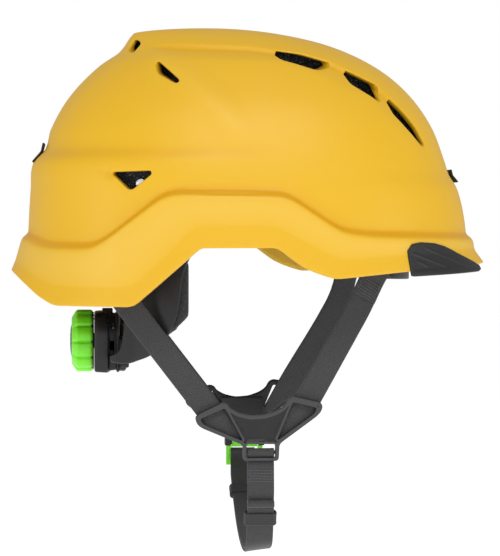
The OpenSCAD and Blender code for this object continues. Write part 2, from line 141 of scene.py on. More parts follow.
# The backdrop reads as clean white, while the room's own light is softer than that
seen = add(world.node_tree, "ShaderNodeLightPath").outputs["Is Camera Ray"]
room = add(world.node_tree, "ShaderNodeMix", {"Factor": seen, "A": 0.485, "B": 1.0})
world.node_tree.links.new(room.outputs[0], world.node_tree.nodes["Background"].inputs["Strength"])
world.node_tree.nodes["Background"].inputs["Color"].default_value = (1, 1, 1, 1)


def soft_box(name, place, size, power):
    """An area light that faces the helmet."""
    light = bpy.data.lights.new(name, "AREA")
    light.shape = "RECTANGLE"
    light.size, light.size_y = size
    light.energy = power
    box = placed(name, light)
    box.location = place
    box.rotation_euler = (aim - box.location).to_track_quat("-Z", "Y").to_euler()


soft_box("front_box", Vector((-0.1, -1.9, 0.05)), (1.5, 1.4), 3.7)
soft_box("top_box", Vector((0.1, -1.1, 1.3)), (0.9, 0.5), 10)
soft_box("left_box", Vector((-1.5, -1.0, 0.1)), (0.4, 0.8), 4)
soft_box("right_box", Vector((1.5, -1.0, 0.0)), (0.4, 0.8), 4)

floor_paint, _, floor_shader = surface_material("matt_white_floor", 0.9)
floor_shader.inputs["Base Color"].default_value = linear("#FAFAFA")
floor_shader.inputs["Emission Color"].default_value = (1, 1, 1, 1)
floor_shader.inputs["Emission Strength"].default_value = 0.54
floor_mesh = bpy.data.meshes.new("floor")
floor_z, floor_half = cad_low[2] - 0.12, 6
floor_mesh.from_pydata([(floor_half * x, floor_half * y, floor_z) for x, y in ((-1, -1), (1, -1), (1, 1), (-1, 1))],
    [], [(0, 1, 2, 3)])
floor_mesh.materials.append(floor_paint)
floor = placed("floor", floor_mesh)

# ==== Outer shell ====
# The hard shell: one injection moulding in yellow ABS, 3 mm thick, with a raised crown ridge,
# vents in a channel beside it, a ledge, and a skirt that flares out to a small peak.
crown_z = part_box("outer_shell")[1].z / MM + 0.1
# The plan is a little squarer than an ellipse, and its runs are (place down the dome, reach in mm)
wall = 3
skirt_step = 5
squareness = 2.35
plan_mid = -5
front_run = [[0, -20], [0.16, 20.7], [0.28, 51.6], [0.43, 82.6], [0.55, 102], [0.68, 117.4],
    [0.8, 126.5], [0.83, 128.5], [0.87, 134], [0.95, 138.7], [1.05, 141], [1.16, 143]]
rear_run = [[0, 40], [0.13, 72], [0.17, 74.5], [0.33, 82.6], [0.42, 95.5], [0.57, 114.8],
    [0.69, 126.5], [0.755, 130], [0.8, 138], [0.87, 139.5], [1, 141.3], [1.16, 143]]
side_run = [[0, 12], [0.08, 20], [0.19, 33], [0.31, 47], [0.41, 60], [0.51, 71.5], [0.64, 86],
    [0.75, 95.5], [0.84, 101.5], [0.92, 105], [1, 107], [1.16, 109]]
# Heights of the skirt's lines by the cosine of the angle, from the rear (-1) to the front (1)
rim_line = [[-1, -18.6], [-0.95, -25], [-0.88, -34], [-0.82, -39], [-0.5, -39], [-0.22, -3.7],
    [0.1, -3.6], [0.2, -15], [0.25, -18.5], [0.33, -22.5], [0.6, -18.5], [1, -14]]
crease_line = [[-1, -12], [-0.9, -24], [-0.8, -28], [-0.5, -28], [-0.3, 0], [-0.25, 9], [0.09, 9],
    [0.2, 0], [0.35, -12], [0.6, -9], [1, -6]]
ledge_line = [[-1, 5.5], [-0.9, -1], [-0.69, -1.3], [-0.64, 2.3], [-0.39, 29.5], [-0.34, 31.5],
    [0, 31], [0.15, 30], [0.37, 8.3], [0.5, 6], [1, 4]]
columns = 300
dome_rows = 92
# The dome's grid starts this far below the crown and ends this far above the ledge
crown_gap, dome_foot = 0.1, 3.1


def curve(points, v):
    """Smooth curve through the points, at v."""
    x, y = np.array(points, float).T
    i = np.clip(np.searchsorted(x, v, "right") - 1, 0, len(x) - 2)
    low, high = np.maximum(0, np.arange(len(x)) - 1), np.minimum(len(x) - 1, np.arange(len(x)) + 1)
    slope = (y[high] - y[low]) / (x[high] - x[low])
    h = x[i + 1] - x[i]
    t = (v - x[i]) / h
    return ((2 * t**3 - 3 * t**2 + 1) * y[i] + (t**3 - 2 * t**2 + t) * h * slope[i]
            + (3 * t**2 - 2 * t**3) * y[i + 1] + (t**3 - t**2) * h * slope[i + 1])


def dome(a, z, d=0.0, flare=0.0):
    """Point of the dome at angle a and height z, inset by d and let out by flare."""
    s = np.sqrt(np.maximum(0, 1 - z / (crown_z - d)))
    grow = flare - d * np.minimum(1, 2 * s)
    u = np.cos(a)
    mid = plan_mid - 25 * np.maximum(0, 1 - 2.5 * s) ** 2
    reach = np.where(u > 0, curve(front_run, s) + grow - mid, curve(rear_run, s) + grow + mid)
    across = np.sign(np.sin(a)) * (1 - np.minimum(1, np.abs(u) ** squareness)) ** (1 / squareness)
    return np.stack([mid + reach * u, (curve(side_run, s) + grow) * across, z + 0 * a], -1)


def angle_at(x, z, side):
    """The dome angle at fore-and-aft place x and height z, on one side (+1 left, -1 right)."""
    s = math.sqrt(1 - z / crown_z)
    mid = plan_mid - 25 * max(0, 1 - 2.5 * s) ** 2
    reach = float(curve(front_run, s)) - mid if x > mid else float(curve(rear_run, s)) + mid
    a = math.acos(max(-1, min(1, (x - mid) / reach)))
    return a if side > 0 else 2 * math.pi - a


def eased(line, a, spread=0.03):
    """A skirt line at angles a, with its corners eased."""
    x, y = np.array(line, float).T
    steps = np.linspace(-2, 2, 9) * spread
    weights = np.exp(-(steps / spread) ** 2 / 2)
    total = sum(w * np.interp(np.cos(a) + shift, x, y) for w, shift in zip(weights, steps))
    return total / weights.sum()


def step(value):
    """0 below 0, 1 above 1, and a smooth rise between."""
    t = np.clip(value, 0, 1)
    return t * t * (3 - 2 * t)


def from_line(points, x, z):
    """Distance of (x, z) from an open line, positive below it, and the place along it, 0 to 1."""
    best = np.full(np.shape(x), 1e9)
    sign = np.ones(np.shape(x))
    along = np.zeros(np.shape(x))
    lengths = [math.dist(p, q) for p, q in zip(points, points[1:])]
    run = 0
    for (p, q), length in zip(zip(points, points[1:]), lengths):
        dx, dz = (q[0] - p[0]) / length, (q[1] - p[1]) / length
        t = np.clip((x - p[0]) * dx + (z - p[1]) * dz, 0, length)
        gap = np.hypot(x - p[0] - t * dx, z - p[1] - t * dz)
        nearer = gap < best
        best = np.where(nearer, gap, best)
        sign = np.where(nearer, np.sign((x - p[0]) * dz - (z - p[1]) * dx), sign)
        along = np.where(nearer, (run + t) / sum(lengths), along)
        run += length
    return best * sign, along


crest_edge = [(-67, 123), (-34, 122.4), (-2, 121), (13, 118.8), (29, 116.4), (48, 111.6), (56.5, 107.4),
    (77, 97.6), (84, 90), (95, 79.5), (102, 70.4), (107.4, 59), (110.6, 50)]
rear_ridge = [(-65.6, 121.4), (-48, 105.5), (-25, 85), (-2.7, 52.7)]
channel_width = [(-67, 9), (-2, 9), (14, 6.5), (52, 12), (75, 10), (88, 11), (110, 3)]


def relief(x, z):
    """How far the moulding's creases stand out from the plain dome, and how much painted shade deepens their colour."""
    below, along = from_line(crest_edge, x, z)
    width = np.interp(x, *np.array(channel_width, float).T)
    ends = step(along * 12) * step((1 - along) * 8)
    channel = step(below / 1.6) * (1 - np.clip((below - 1.6) / (width - 1.6), 0, 1)) * ends
    ridge_gap, ridge_along = from_line(rear_ridge, x, z)
    ridge = np.maximum(0, 1 - np.sqrt(ridge_gap ** 2 + 1.5) / 13) * step((1 - ridge_along) * 3) * step(ridge_along * 8)
    waist = step((56 - z) / 8) * step((z - 16) / 26) * (1 - step((x + 45) / 55)) * step((x + 140) / 22)
    groove_top = 43.1 - (x + 100.8) * 0.127
    groove_low = 43.1 - (x + 100.8) * 0.36
    into = np.clip((groove_top - z) / np.maximum(groove_top - groove_low, 0.1), 0, 1)
    groove = step((groove_top - z + 0.4) / 0.9) * (1 - into) * step((x + 101) / 10) * (x < -76) * (x > -101)
    # Painted shade: the channel under the crest, a band at the waist and the groove are painted deeper, and the rear
    # ridge is painted paler as a highlight.
    painted_crease_shade = 0.75 * step(below / 1.6) * np.clip(1 - (below - 1.6) / 4, 0, 1) * ends
    painted_crease_shade = painted_crease_shade + 0.45 * np.exp(-((z - 54.5) / 3.2) ** 2) * (1 - step((x + 20) / 40)) + 0.8 * groove - 0.25 * ridge
    return -1.7 * channel + 1.3 * ridge + 1.1 * waist - 1.5 * groove, painted_crease_shade


def corner(p, q, r, near, far, count):
    """Points that round the corner q between p and r, starting near before it and ending far after it."""
    into, out = q - p, r - q
    start = q - into * (near / np.linalg.norm(into, axis=-1))[..., None].clip(max=0.48)
    end = q + out * (far / np.linalg.norm(out, axis=-1))[..., None].clip(max=0.48)
    return [(1 - t) ** 2 * start + 2 * t * (1 - t) * q + t * t * end for t in np.linspace(0, 1, count)]


def between(p, q, count):
    """Even points from p to q, without its ends."""
    return [p + (q - p) * t for t in np.linspace(0, 1, count + 2)[1:-1]]


def skirt_flare(a):
    """How far the skirt stands out at the ledge, the crease and the rim: it leaves late at the peak."""
    ends = np.cos(a) ** 4
    ledge, rim = skirt_step - 1.0 * ends, skirt_step + 1.6 + 3 * ends
    return ledge, ledge + (rim - ledge) * (0.38 * (1 - ends) + np.where(np.cos(a) > 0, 0.12, 0.65) * ends), rim


def skirt_rows(a, d, lip):
    """The rows of the skirt below the dome, from the ledge to the rim."""
    at_ledge, at_crease, at_rim = skirt_flare(a)
    ledge, crease, rim = eased(ledge_line, a), eased(crease_line, a), eased(rim_line, a, 0.012)
    rise = 1 if d else 0
    top = dome(a, ledge + 3, d)
    inner_corner = dome(a, ledge - rise, d)
    outer_corner = dome(a, ledge - 3.5 - rise / 2, d, at_ledge)
    bend = dome(a, np.maximum(crease, rim + 3), d, at_crease)
    edge = dome(a, rim + lip, d, at_rim)
    rows = corner(top, inner_corner, outer_corner, 2.6, 2.2, 6)
    rows += corner(inner_corner, outer_corner, bend, 2.0, 2.2, 6)
    turned = corner(outer_corner, bend, edge, 1.6, 1.6, 5)
    rows += between(rows[-1], turned[0], 5) + turned
    rows += between(rows[-1], edge, 4) + [edge]
    return rows


def dome_height(a, t):
    """Height of the dome at angle a, t running from 0 at the crown to 1 just above the ledge."""
    top = math.sqrt(crown_gap / crown_z)
    s = top + (np.sqrt(1 - (eased(ledge_line, a) + dome_foot) / crown_z) - top) * t
    return crown_z * (1 - s ** 2)


def outer_at(a, t):
    """Point and outward direction of the shell's face."""
    z = dome_height(a, t)
    point = dome(a, z)
    e = 1e-3
    along_a = dome(a + e, z) - dome(a - e, z)
    along_z = dome(a, np.minimum(z + 0.02, crown_z - 0.05)) - dome(a, z - 0.02)
    out = np.cross(along_a, along_z)
    out /= np.linalg.norm(out, axis=-1, keepdims=True) + 1e-12
    return point + out * relief(point[..., 0], point[..., 2])[0][..., None], out


def inner_at(a, t):
    """Point of the shell's inner face."""
    z = dome_height(a, t)
    return dome(a, np.minimum(z, crown_z - wall - 0.1 - 2.9 * (1 - t) ** 8), wall)


def running_length(points, closed=False):
    """Length along a line up to each of its points, and back to the first if it is closed."""
    line = np.vstack([points, points[:1]]) if closed else points
    return np.concatenate([[0], np.cumsum(np.linalg.norm(np.diff(line, axis=0), axis=1))])


def resampled(line, at):
    """The points of a line at the given lengths along it."""
    run = running_length(line)
    return np.stack([np.interp(at, run, line[:, k]) for k in range(line.shape[1])], 1)


def outline_normals(loop):
    """The direction out of a closed outline at each of its points."""
    area = np.sum(loop[:, 0] * np.roll(loop[:, 1], -1) - loop[:, 1] * np.roll(loop[:, 0], -1))
    run = np.roll(loop, -1, 0) - np.roll(loop, 1, 0)
    run /= np.linalg.norm(run, axis=1, keepdims=True)
    return np.sign(area) * np.stack([run[:, 1], -run[:, 0]], 1)


def rounded(outline, radius, grow, spacing=1.1):
    """An outline of (x, z) points with its corners rounded, let out by grow, in even short steps."""
    pts = np.array(outline, float)
    n = len(pts)
    path = []
    for i in range(n):
        p, q, r = pts[i - 1], pts[i], pts[(i + 1) % n]
        back, ahead = p - q, r - q
        cut = min(radius, 0.45 * np.linalg.norm(back), 0.45 * np.linalg.norm(ahead))
        s, e = q + back / np.linalg.norm(back) * cut, q + ahead / np.linalg.norm(ahead) * cut
        path += [(1 - t) ** 2 * s + 2 * t * (1 - t) * q + t * t * e for t in np.linspace(0, 1, 5)]
    path = np.array(path)
    path = path + grow * outline_normals(path)
    length = running_length(path, True)[-1]
    places = np.linspace(0, length, max(10, int(length / spacing)) + 1)[:-1]
    return resampled(np.vstack([path, path[:1]]), places)


def inside(path, x, y):
    """Whether points lie within a closed outline."""
    odd = np.zeros(np.shape(x), bool)
    for (x0, y0), (x1, y1) in zip(path, np.roll(path, -1, 0)):
        crosses = (y0 > y) != (y1 > y)
        odd ^= crosses & (x < (x1 - x0) * (y - y0) / (y1 - y0 + 1e-12) + x0)
    return odd


def new_piece(name, verts, faces, material, smooth=True):
    """A mesh object from points in millimetres."""
    mesh = bpy.data.meshes.new(name)
    mesh.from_pydata([tuple(float(c) * MM for c in v) for v in verts], [], [tuple(map(int, f)) for f in faces])
    mesh.materials.append(material)
    piece = placed(name, mesh)
    mesh.update()
    if smooth:
        mesh.shade_smooth()
    return piece


vent_outlines = {
    "front": [[(13, 118), (29, 115.8), (47.8, 110.5), (41.6, 107.4), (37.6, 107.4), (17, 113.6)],
        [(56.5, 106.2), (76.8, 96.9), (78.7, 86.9), (60.3, 98.7)],
        [(83.9, 88.8), (94.1, 78.8), (101.3, 69.8), (106.9, 58.9), (87.3, 80.1)]],
    "rear": [[(-59.3, 110.5), (-47.1, 98.3), (-49.3, 97.3), (-59.7, 103.9), (-60.3, 108.7)]],
    "tail": [[(-72.3, 127.5), (-70, 125), (-75, 119), (-77, 120.2)]],
    "side": [[(-88.2, 41.5), (-65.2, 42.2), (-65.2, 40.7), (-76.3, 31.9), (-78.7, 31.9)]]}
lip = 0.9
turn = 2 * math.pi / columns
angles = turn * np.arange(columns)
rows = np.arange(dome_rows + 1) / dome_rows
# The slot in the ledge: where it runs, and how deep its groove is
slot_x, slot_depth = (-32.8, -1.0), 1.1

grid_a, grid_t = np.meshgrid(angles, rows, indexing="ij")
dome_points, _ = outer_at(grid_a, grid_t)
skirt_out = np.stack(skirt_rows(angles, 0, lip), 1)
skirt_in = np.stack(skirt_rows(angles, wall, lip), 1)
outer = np.concatenate([dome_points, skirt_out], 1)
inner = np.concatenate([inner_at(grid_a, grid_t), skirt_in], 1)
depth = outer.shape[1]
outer, inner = list(outer.reshape(-1, 3)), list(inner.reshape(-1, 3))


def index(i, j):
    return (i % columns) * depth + j


taken = set()
faces = []
to_flat = np.array([100.0, 170.0])
for side in (-1, 1):
    for group in vent_outlines.values():
        loops = []
        for outline in group:
            path = rounded(outline, 1.8, lip + 0.5)
            loops.append(np.array([[angle_at(x, z, side), 0] for x, z in path]))
            top = math.sqrt(crown_gap / crown_z)
            foot = np.sqrt(1 - (eased(ledge_line, loops[-1][:, 0]) + dome_foot) / crown_z)
            loops[-1][:, 1] = (np.sqrt(1 - path[:, 1] / crown_z) - top) / (foot - top)
        every = np.vstack(loops)
        i0, i1 = int(every[:, 0].min() / turn) - 1, int(every[:, 0].max() / turn) + 2
        j0, j1 = int(every[:, 1].min() * dome_rows) - 1, int(every[:, 1].max() * dome_rows) + 2
        points, source, edges = [], [], []
        for i in range(i0, i1 + 1):
            for j in range(j0, j1 + 1):
                at = np.array([i * turn, j / dome_rows])
                on_border = i in (i0, i1) or j in (j0, j1)
                flat = at * to_flat
                near = min(np.min(np.linalg.norm(l * to_flat - flat, axis=1)) for l in loops)
                hit = any(bool(inside(l, at[0], at[1])) for l in loops)
                if on_border or (near > 1.0 and not hit):
                    points.append(Vector(flat))
                    source.append(index(i, j))
        border = {s: k for k, s in enumerate(source)}
        ring = ([index(i, j0) for i in range(i0, i1)] + [index(i1, j) for j in range(j0, j1)]
                + [index(i, j1) for i in range(i1, i0, -1)] + [index(i0, j) for j in range(j1, j0, -1)])
        edges += [(border[p], border[q]) for p, q in zip(ring, ring[1:] + ring[:1])]
        for l in loops:
            start = len(points)
            point, _ = outer_at(l[:, 0], l[:, 1])
            back = inner_at(l[:, 0], l[:, 1])
            for k in range(len(l)):
                points.append(Vector(l[k] * to_flat))
                source.append(len(outer))
                outer.append(point[k])
                inner.append(back[k])
                edges.append((start + k, start + (k + 1) % len(l)))
        _, _, tris, origin, _, _ = delaunay_2d_cdt(points, edges, [], 0, 1e-4)
        for tri in tris:
            corners = [origin[v][0] for v in tri]
            centre = sum((points[c] for c in corners), Vector((0, 0))) / 3
            if any(bool(inside(l * to_flat, centre.x, centre.y)) for l in loops):
                continue
            (ax, ay), (bx, by), (cx, cy) = (points[c] for c in corners)
            if (bx - ax) * (cy - ay) - (by - ay) * (cx - ax) > 0:
                corners.reverse()
            faces.append([source[c] for c in corners])
        taken |= {(i % columns, j) for i in range(i0, i1) for j in range(j0, j1)}

# Painted light and shade on the skirt: rows in the ledge's hollow are painted deeper, and the lower rows that face the
# lamps paler; the dome takes a middle value.
painted_shading = {}
for i in range(columns):
    x = float(dome(angles[i], 30.0)[0])
    for j in range(depth):
        k = j - dome_rows
        painted_shading[index(i, j)] = 0.45 if k < 1 else float(np.interp(k, [1, 3, 5, 8, 11, 14, 17, 20, 24],
            [0.6, 0.95, 1, 0.8, 0.2, 0.0, 0.15, 0.5, 0.5]))
    if slot_x[0] < x < slot_x[1]:
        for j in (dome_rows + 7, dome_rows + 8):
            outer[index(i, j)] = outer[index(i, j)] + (0, -slot_depth * np.sign(outer[index(i, j)][1]), 0)
    for j in range(depth - 1):
        if (i, j) in taken:
            continue
        faces.append([index(i, j), index(i, j + 1), index(i + 1, j + 1), index(i + 1, j)])
outer.append(np.mean([outer[index(i, 0)] for i in range(columns)], 0))
inner.append(np.mean([inner[index(i, 0)] for i in range(columns)], 0))
crown = len(outer) - 1
faces += [[crown, index(i, 0), index(i + 1, 0)] for i in range(columns)]


def used_only(faces):
    """The points that faces use, and the same faces numbered from those points alone."""
    used = sorted({v for face in faces for v in face})
    where = {v: k for k, v in enumerate(used)}
    return used, [[where[v] for v in face] for face in faces]


def thick_shell(name, outer, inner, faces, lip, material, arcs=(30, 60, 90)):
    """Closes a face and its back into one solid, with a rounded lip round every edge."""
    outer, inner = np.array(outer), np.array(inner)
    edges = {}
    for f in faces:
        for p, q in zip(f, f[1:] + f[:1]):
            edges[(p, q)] = edges.get((p, q), 0) + 1
    open_edges = [(p, q) for p, q in edges if (q, p) not in edges]
    out = np.zeros_like(outer)
    for f in faces:
        n = np.cross(outer[f[1]] - outer[f[0]], outer[f[2]] - outer[f[0]])
        for v in f:
            out[v] += n
    out /= np.linalg.norm(out, axis=1, keepdims=True) + 1e-12
    away = np.zeros_like(outer)
    for p, q in open_edges:
        run = outer[q] - outer[p]
        t = np.cross(run, out[p] + out[q])
        t /= np.linalg.norm(t) + 1e-12
        away[p] += t
        away[q] += t
    away /= np.linalg.norm(away, axis=1, keepdims=True) + 1e-12
    count = len(outer)
    verts = list(outer) + list(inner)
    solid = [list(f) for f in faces] + [[count + v for v in reversed(f)] for f in faces]
    ring = {}
    for v in {v for e in open_edges for v in e}:
        ring[v] = [v]
        for angle in arcs:
            s, c = math.sin(math.radians(angle)), math.cos(math.radians(angle))
            ring[v].append(len(verts))
            verts.append(outer[v] + lip * s * away[v] - lip * (1 - c) * out[v])
        verts[count + v] = inner[v] + lip * away[v]
        ring[v].append(count + v)
    for p, q in open_edges:
        for k in range(len(arcs) + 1):
            solid.append([ring[q][k], ring[p][k], ring[p][k + 1], ring[q][k + 1]])
    used, solid = used_only(solid)
    return new_piece(name, [verts[v] for v in used], solid, material)


def noise(tree, scale, detail=2.0):
    """Noise in the object's own coordinates, as a socket."""
    place = add(tree, "ShaderNodeTexCoord").outputs["Object"]
    return add(tree, "ShaderNodeTexNoise", {"Vector": place, "Scale": scale, "Detail": detail}).outputs["Fac"]


def maths(tree, operation, *values):
    """A Math node's result."""
    return add(tree, "ShaderNodeMath", dict(enumerate(values)), operation=operation).outputs[0]


def finish_surface(tree, shader, colour, height=None, strength=0.0, distance=0.0):
    """Gives a shader its colour and, from a height between 0 and 1, its fine relief."""
    tree.links.new(colour, shader.inputs["Base Color"])
    if height:
        raised = add(tree, "ShaderNodeBump", {"Height": height, "Strength": strength, "Distance": distance})
        tree.links.new(raised.outputs["Normal"], shader.inputs["Normal"])


# Injection-moulded ABS, coloured through: an even satin sheen over a very fine mould grain.
abs_yellow, tree, shader = surface_material("moulded_yellow_abs", 0.46, IOR=1.46)
# Painted light and shade: the colour is painted deeper in hollows and creases and paler where the skirt faces the
# lamps; the small noise is the moulding's own uneven colour
painted_shading_at = add(tree, "ShaderNodeAttribute", attribute_name="painted_shading").outputs["Fac"]
painted_shading_ramp = add(tree, "ShaderNodeValToRGB", {"Fac": maths(tree, "MULTIPLY_ADD", noise(tree, 22.0), 0.08, painted_shading_at)})
painted_shading_ramp.color_ramp.elements[0].color = linear("#E2B63C")
painted_shading_ramp.color_ramp.elements[1].color = linear("#DA9F00")
painted_shading_ramp.color_ramp.elements.new(0.5).color = linear("#DFAE18")
finish_surface(tree, shader, painted_shading_ramp.outputs["Color"], noise(tree, 1400.0), 0.06, 0.0004)
shell = thick_shell("moulded_shell", outer, inner, faces, lip, abs_yellow)
nearest = KDTree(len(outer))
for k, point in enumerate(outer):
    nearest.insert(Vector(point) * MM, k)
nearest.balance()
# Each point of the shell takes its row's painted shading, with the creases' painted shade added on the dome.
spots = np.array(outer)
row_painted_shading = np.array([painted_shading.get(k, 0.45) for k in range(len(outer))])
outer_painted_shading = row_painted_shading + np.where(row_painted_shading == 0.45, 0.5 * relief(spots[:, 0], spots[:, 2])[1], 0)
painted_shading_values = np.full(len(shell.data.vertices), 0.5, np.float32)
for k, vertex in enumerate(shell.data.vertices):
    _, which, gap = nearest.find(vertex.co)
    if gap < 1.5 * MM:
        painted_shading_values[k] = outer_painted_shading[which]
shell.data.attributes.new("painted_shading", "FLOAT", "POINT").data.foreach_set("value", np.clip(painted_shading_values, 0, 1))
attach(shell, "shell")
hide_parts("outer_shell")

# ==== Brim inserts ====
# Two black rubber-like mouldings let into the peak, one each side, where a visor clips on.
# Each follows the skirt, stands 1.5 mm proud of it, and has fine raised lines running back.


def blend(tree, factor, low, high):
    """A mix of two colours, each '#RRGGBB' or a socket, as a socket."""
    low, high = (linear(colour) if isinstance(colour, str) else colour for colour in (low, high))
    return add(tree, "ShaderNodeMix", {"Factor": factor, "A": low, "B": high}, data_type="RGBA").outputs[2]


soft_black, tree, shader = surface_material("moulded_black_elastomer", 0.5)
grain = noise(tree, 900.0, 3.0)
finish_surface(tree, shader, blend(tree, grain, "#101011", "#1A1A1B"), grain, 0.25, 0.0005)
insert_top = [(21, -14.8), (24, -12.6), (31, -7.8), (37, -3.6), (41, -1.8), (46, -1.2), (49, -2.2), (50.5, -6)]
insert_low = [(21, -17.2), (23, -18.2), (50.5, -20.5)]
insert_lines = [[(49, -7.6), (37, -16.8)], [(44.5, -4.4), (30, -15.3)], [(48, -12.4), (45.5, -14.9)]]


def on_skirt(a, z, stand):
    """Point on the skirt's face at angle a and height z, standing proud of it."""
    at_ledge, at_crease, at_rim = skirt_flare(a)
    ledge, crease, rim = eased(ledge_line, a), eased(crease_line, a), eased(rim_line, a, 0.012)
    flare = np.where(z > crease, at_ledge + (at_crease - at_ledge) * (ledge - 3.5 - z) / (ledge - 3.5 - crease),
                     at_crease + (at_rim - at_crease) * (crease - z) / (crease - rim))
    return dome(a, z, 0, flare + stand)


def grid_faces(n, m):
    """Quads over a grid of n by m points."""
    return [[i * m + j, i * m + j + 1, (i + 1) * m + j + 1, (i + 1) * m + j]
            for i in range(n - 1) for j in range(m - 1)]


for side, name in ((1, "left"), (-1, "right")):
    across, up = np.meshgrid(np.linspace(21, 50.5, 110), np.linspace(1, 0, 26), indexing="ij")
    top = np.interp(across, *np.array(insert_top, float).T)
    low = np.interp(across, *np.array(insert_low, float).T)
    z = low + (top - low) * up
    proud = 1.3 + 0.6 * step((-12.3 - 0.105 * across - z) / 0.7)
    for line in insert_lines:
        gap, _ = from_line(line, across, z)
        proud = proud + 0.5 * step(1 - np.abs(gap) / 0.6)
    a = np.radians(across)
    face = on_skirt(a, z, proud).reshape(-1, 3) * (1, side, 1)
    back = on_skirt(a, z, 0.1 - 0 * z).reshape(-1, 3) * (1, side, 1)
    quads = grid_faces(110, 26)
    insert = thick_shell(f"brim_rubber_{name}", face, back, quads if side > 0 else [q[::-1] for q in quads],
        0.7, soft_black)
    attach(insert, "shell")
    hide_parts(f"brim_insert_{name}")

# ==== Lamp clips ====
# A springy black strap clip on the front and on the rear of the shell, 32 mm wide.
# Each is a thin moulded tongue whose free edge lifts over a head-lamp band.


def cad_copy(node, material):
    """A copy of a CAD node's mesh, in a material of its own."""
    mesh = frame["nodes"][node].data.copy()
    mesh.materials.clear()
    mesh.materials.append(material)
    return mesh


@contextmanager
def editing(mesh):
    """Opens a mesh as a BMesh and writes it back at the end."""
    bm = bmesh.new()
    bm.from_mesh(mesh)
    yield bm
    bm.to_mesh(mesh)
    bm.free()


def softened(node, radius, material, segments=2):
    """A copy of a CAD node with its edges rounded, as moulded edges are."""
    mesh = cad_copy(node, material)
    with editing(mesh) as bm:
        bmesh.ops.remove_doubles(bm, verts=bm.verts, dist=2e-5)
        bmesh.ops.dissolve_limit(bm, angle_limit=math.radians(2), verts=bm.verts, edges=bm.edges)
    piece = placed("moulded_" + node, mesh)
    bevel = piece.modifiers.new("rounding", "BEVEL")
    bevel.width, bevel.segments, bevel.limit_method = radius * MM, segments, "ANGLE"
    bevel.angle_limit = math.radians(35)
    bevel.harden_normals = True
    mesh.shade_smooth()
    body = frame["nodes"][node]["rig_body"]
    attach(piece, body)
    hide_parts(node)
    return piece


for node, shift, scale in (("front_clip", -1.6, 0.72), ("rear_clip", 1.7, 0.85)):
    clip = softened(node, 0.45, soft_black, 3)
    low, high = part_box(node)
    middle = (low + high) / 2
    for vertex in clip.data.vertices:
        vertex.co.x = middle.x + (vertex.co.x - middle.x) * scale + shift * MM
        vertex.co.z = middle.z + (vertex.co.z - middle.z) * scale

# ==== Foam liner ====
# The impact liner: one block of black bead foam, moulded to the shell's inner face, 18 mm thick.
# It dips under each vent to let air through, and channels run back over the head inside.


def unit(vectors):
    return vectors / np.linalg.norm(vectors, axis=-1, keepdims=True)


bead_foam, tree, shader = surface_material("black_bead_foam", 0.8)
place = add(tree, "ShaderNodeTexCoord").outputs["Object"]
beads = add(tree, "ShaderNodeTexVoronoi", {"Vector": place, "Scale": 420.0})
bright = add(tree, "ShaderNodeMapRange", {"Value": noise(tree, 950.0), "From Min": 0.56, "From Max": 0.7})
shade = blend(tree, bright.outputs["Result"], blend(tree, beads.outputs["Color"], "#0E0E10", "#29292C"), "#77777A")
finish_surface(tree, shader, shade, beads.outputs["Distance"], 0.6, 0.001)
liner_columns, liner_rows = 200, 64
liner_gap, liner_t = 0.8, 18
liner_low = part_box("impact_liner")[0].z / MM + 1.5
a, t = np.meshgrid(2 * math.pi / liner_columns * np.arange(liner_columns), np.linspace(0, 1, liner_rows),
    indexing="ij")
low_s = math.sqrt(1 - liner_low / crown_z)
liner_top = crown_z - wall - liner_gap
z_out = liner_top * (1 - (0.03 + (low_s - 0.03) * t) ** 2)
z_out = liner_low + (z_out - z_out[:, -1:]) * (liner_top - 0.1 - liner_low) / (z_out[:, :1] - z_out[:, -1:])
z_in = liner_low + (z_out - liner_low) * (liner_top - liner_t - liner_low) / (z_out[:, :1] - liner_low)
face, back = dome(a, z_out, wall + liner_gap), dome(a, z_in, wall + liner_gap + liner_t)
dip = np.zeros(a.shape)
for group in vent_outlines.values():
    for outline in group:
        ring = outline + outline[:1]
        gap, _ = from_line(ring, face[..., 0], face[..., 2])
        gap = np.where(inside(np.array(outline, float), face[..., 0], face[..., 2]), 0, np.abs(gap))
        dip = np.maximum(dip, 7 * step((4.5 - gap) / 5) * (np.abs(face[..., 1]) > 8))
centre = np.array([plan_mid, 0, 20.0])
face = face + unit(centre - face) * dip[..., None]
channel = sum(np.exp(-((back[..., 1] - y) / 5.5) ** 2) for y in (-44, 0, 44)) * step((back[..., 2] - 22) / 20)
back = back + unit(back - centre) * 5 * np.minimum(channel, 1)[..., None]
face, back = face.reshape(-1, 3), back.reshape(-1, 3)
quads = []
for i in range(liner_columns):
    p, q = i * liner_rows, (i + 1) % liner_columns * liner_rows
    quads += [[p + j, p + j + 1, q + j + 1, q + j] for j in range(liner_rows - 1)]
    quads.append([liner_columns * liner_rows, p, q])
face = np.vstack([face, face[::liner_rows].mean(0)])
back = np.vstack([back, back[::liner_rows].mean(0)])
liner = thick_shell("foam_liner", face, back, quads, 1.5, bead_foam)
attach(liner, "shell")
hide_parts("impact_liner")

# Bright zinc-plated steel, for the liner's rivets and the ratchet's screws.
plated_steel, tree, shader = surface_material("zinc_plated_steel", 0.28, Metallic=1.0)
finish_surface(tree, shader, blend(tree, noise(tree, 800.0, 3.0), "#C9CCD0", "#E6E8EA"))
for node in ("liner_rivets", "housing_screws", "detent_spring", "knob_screw"):
    softened(node, 0.3 if node != "detent_spring" else 0.1, plated_steel)

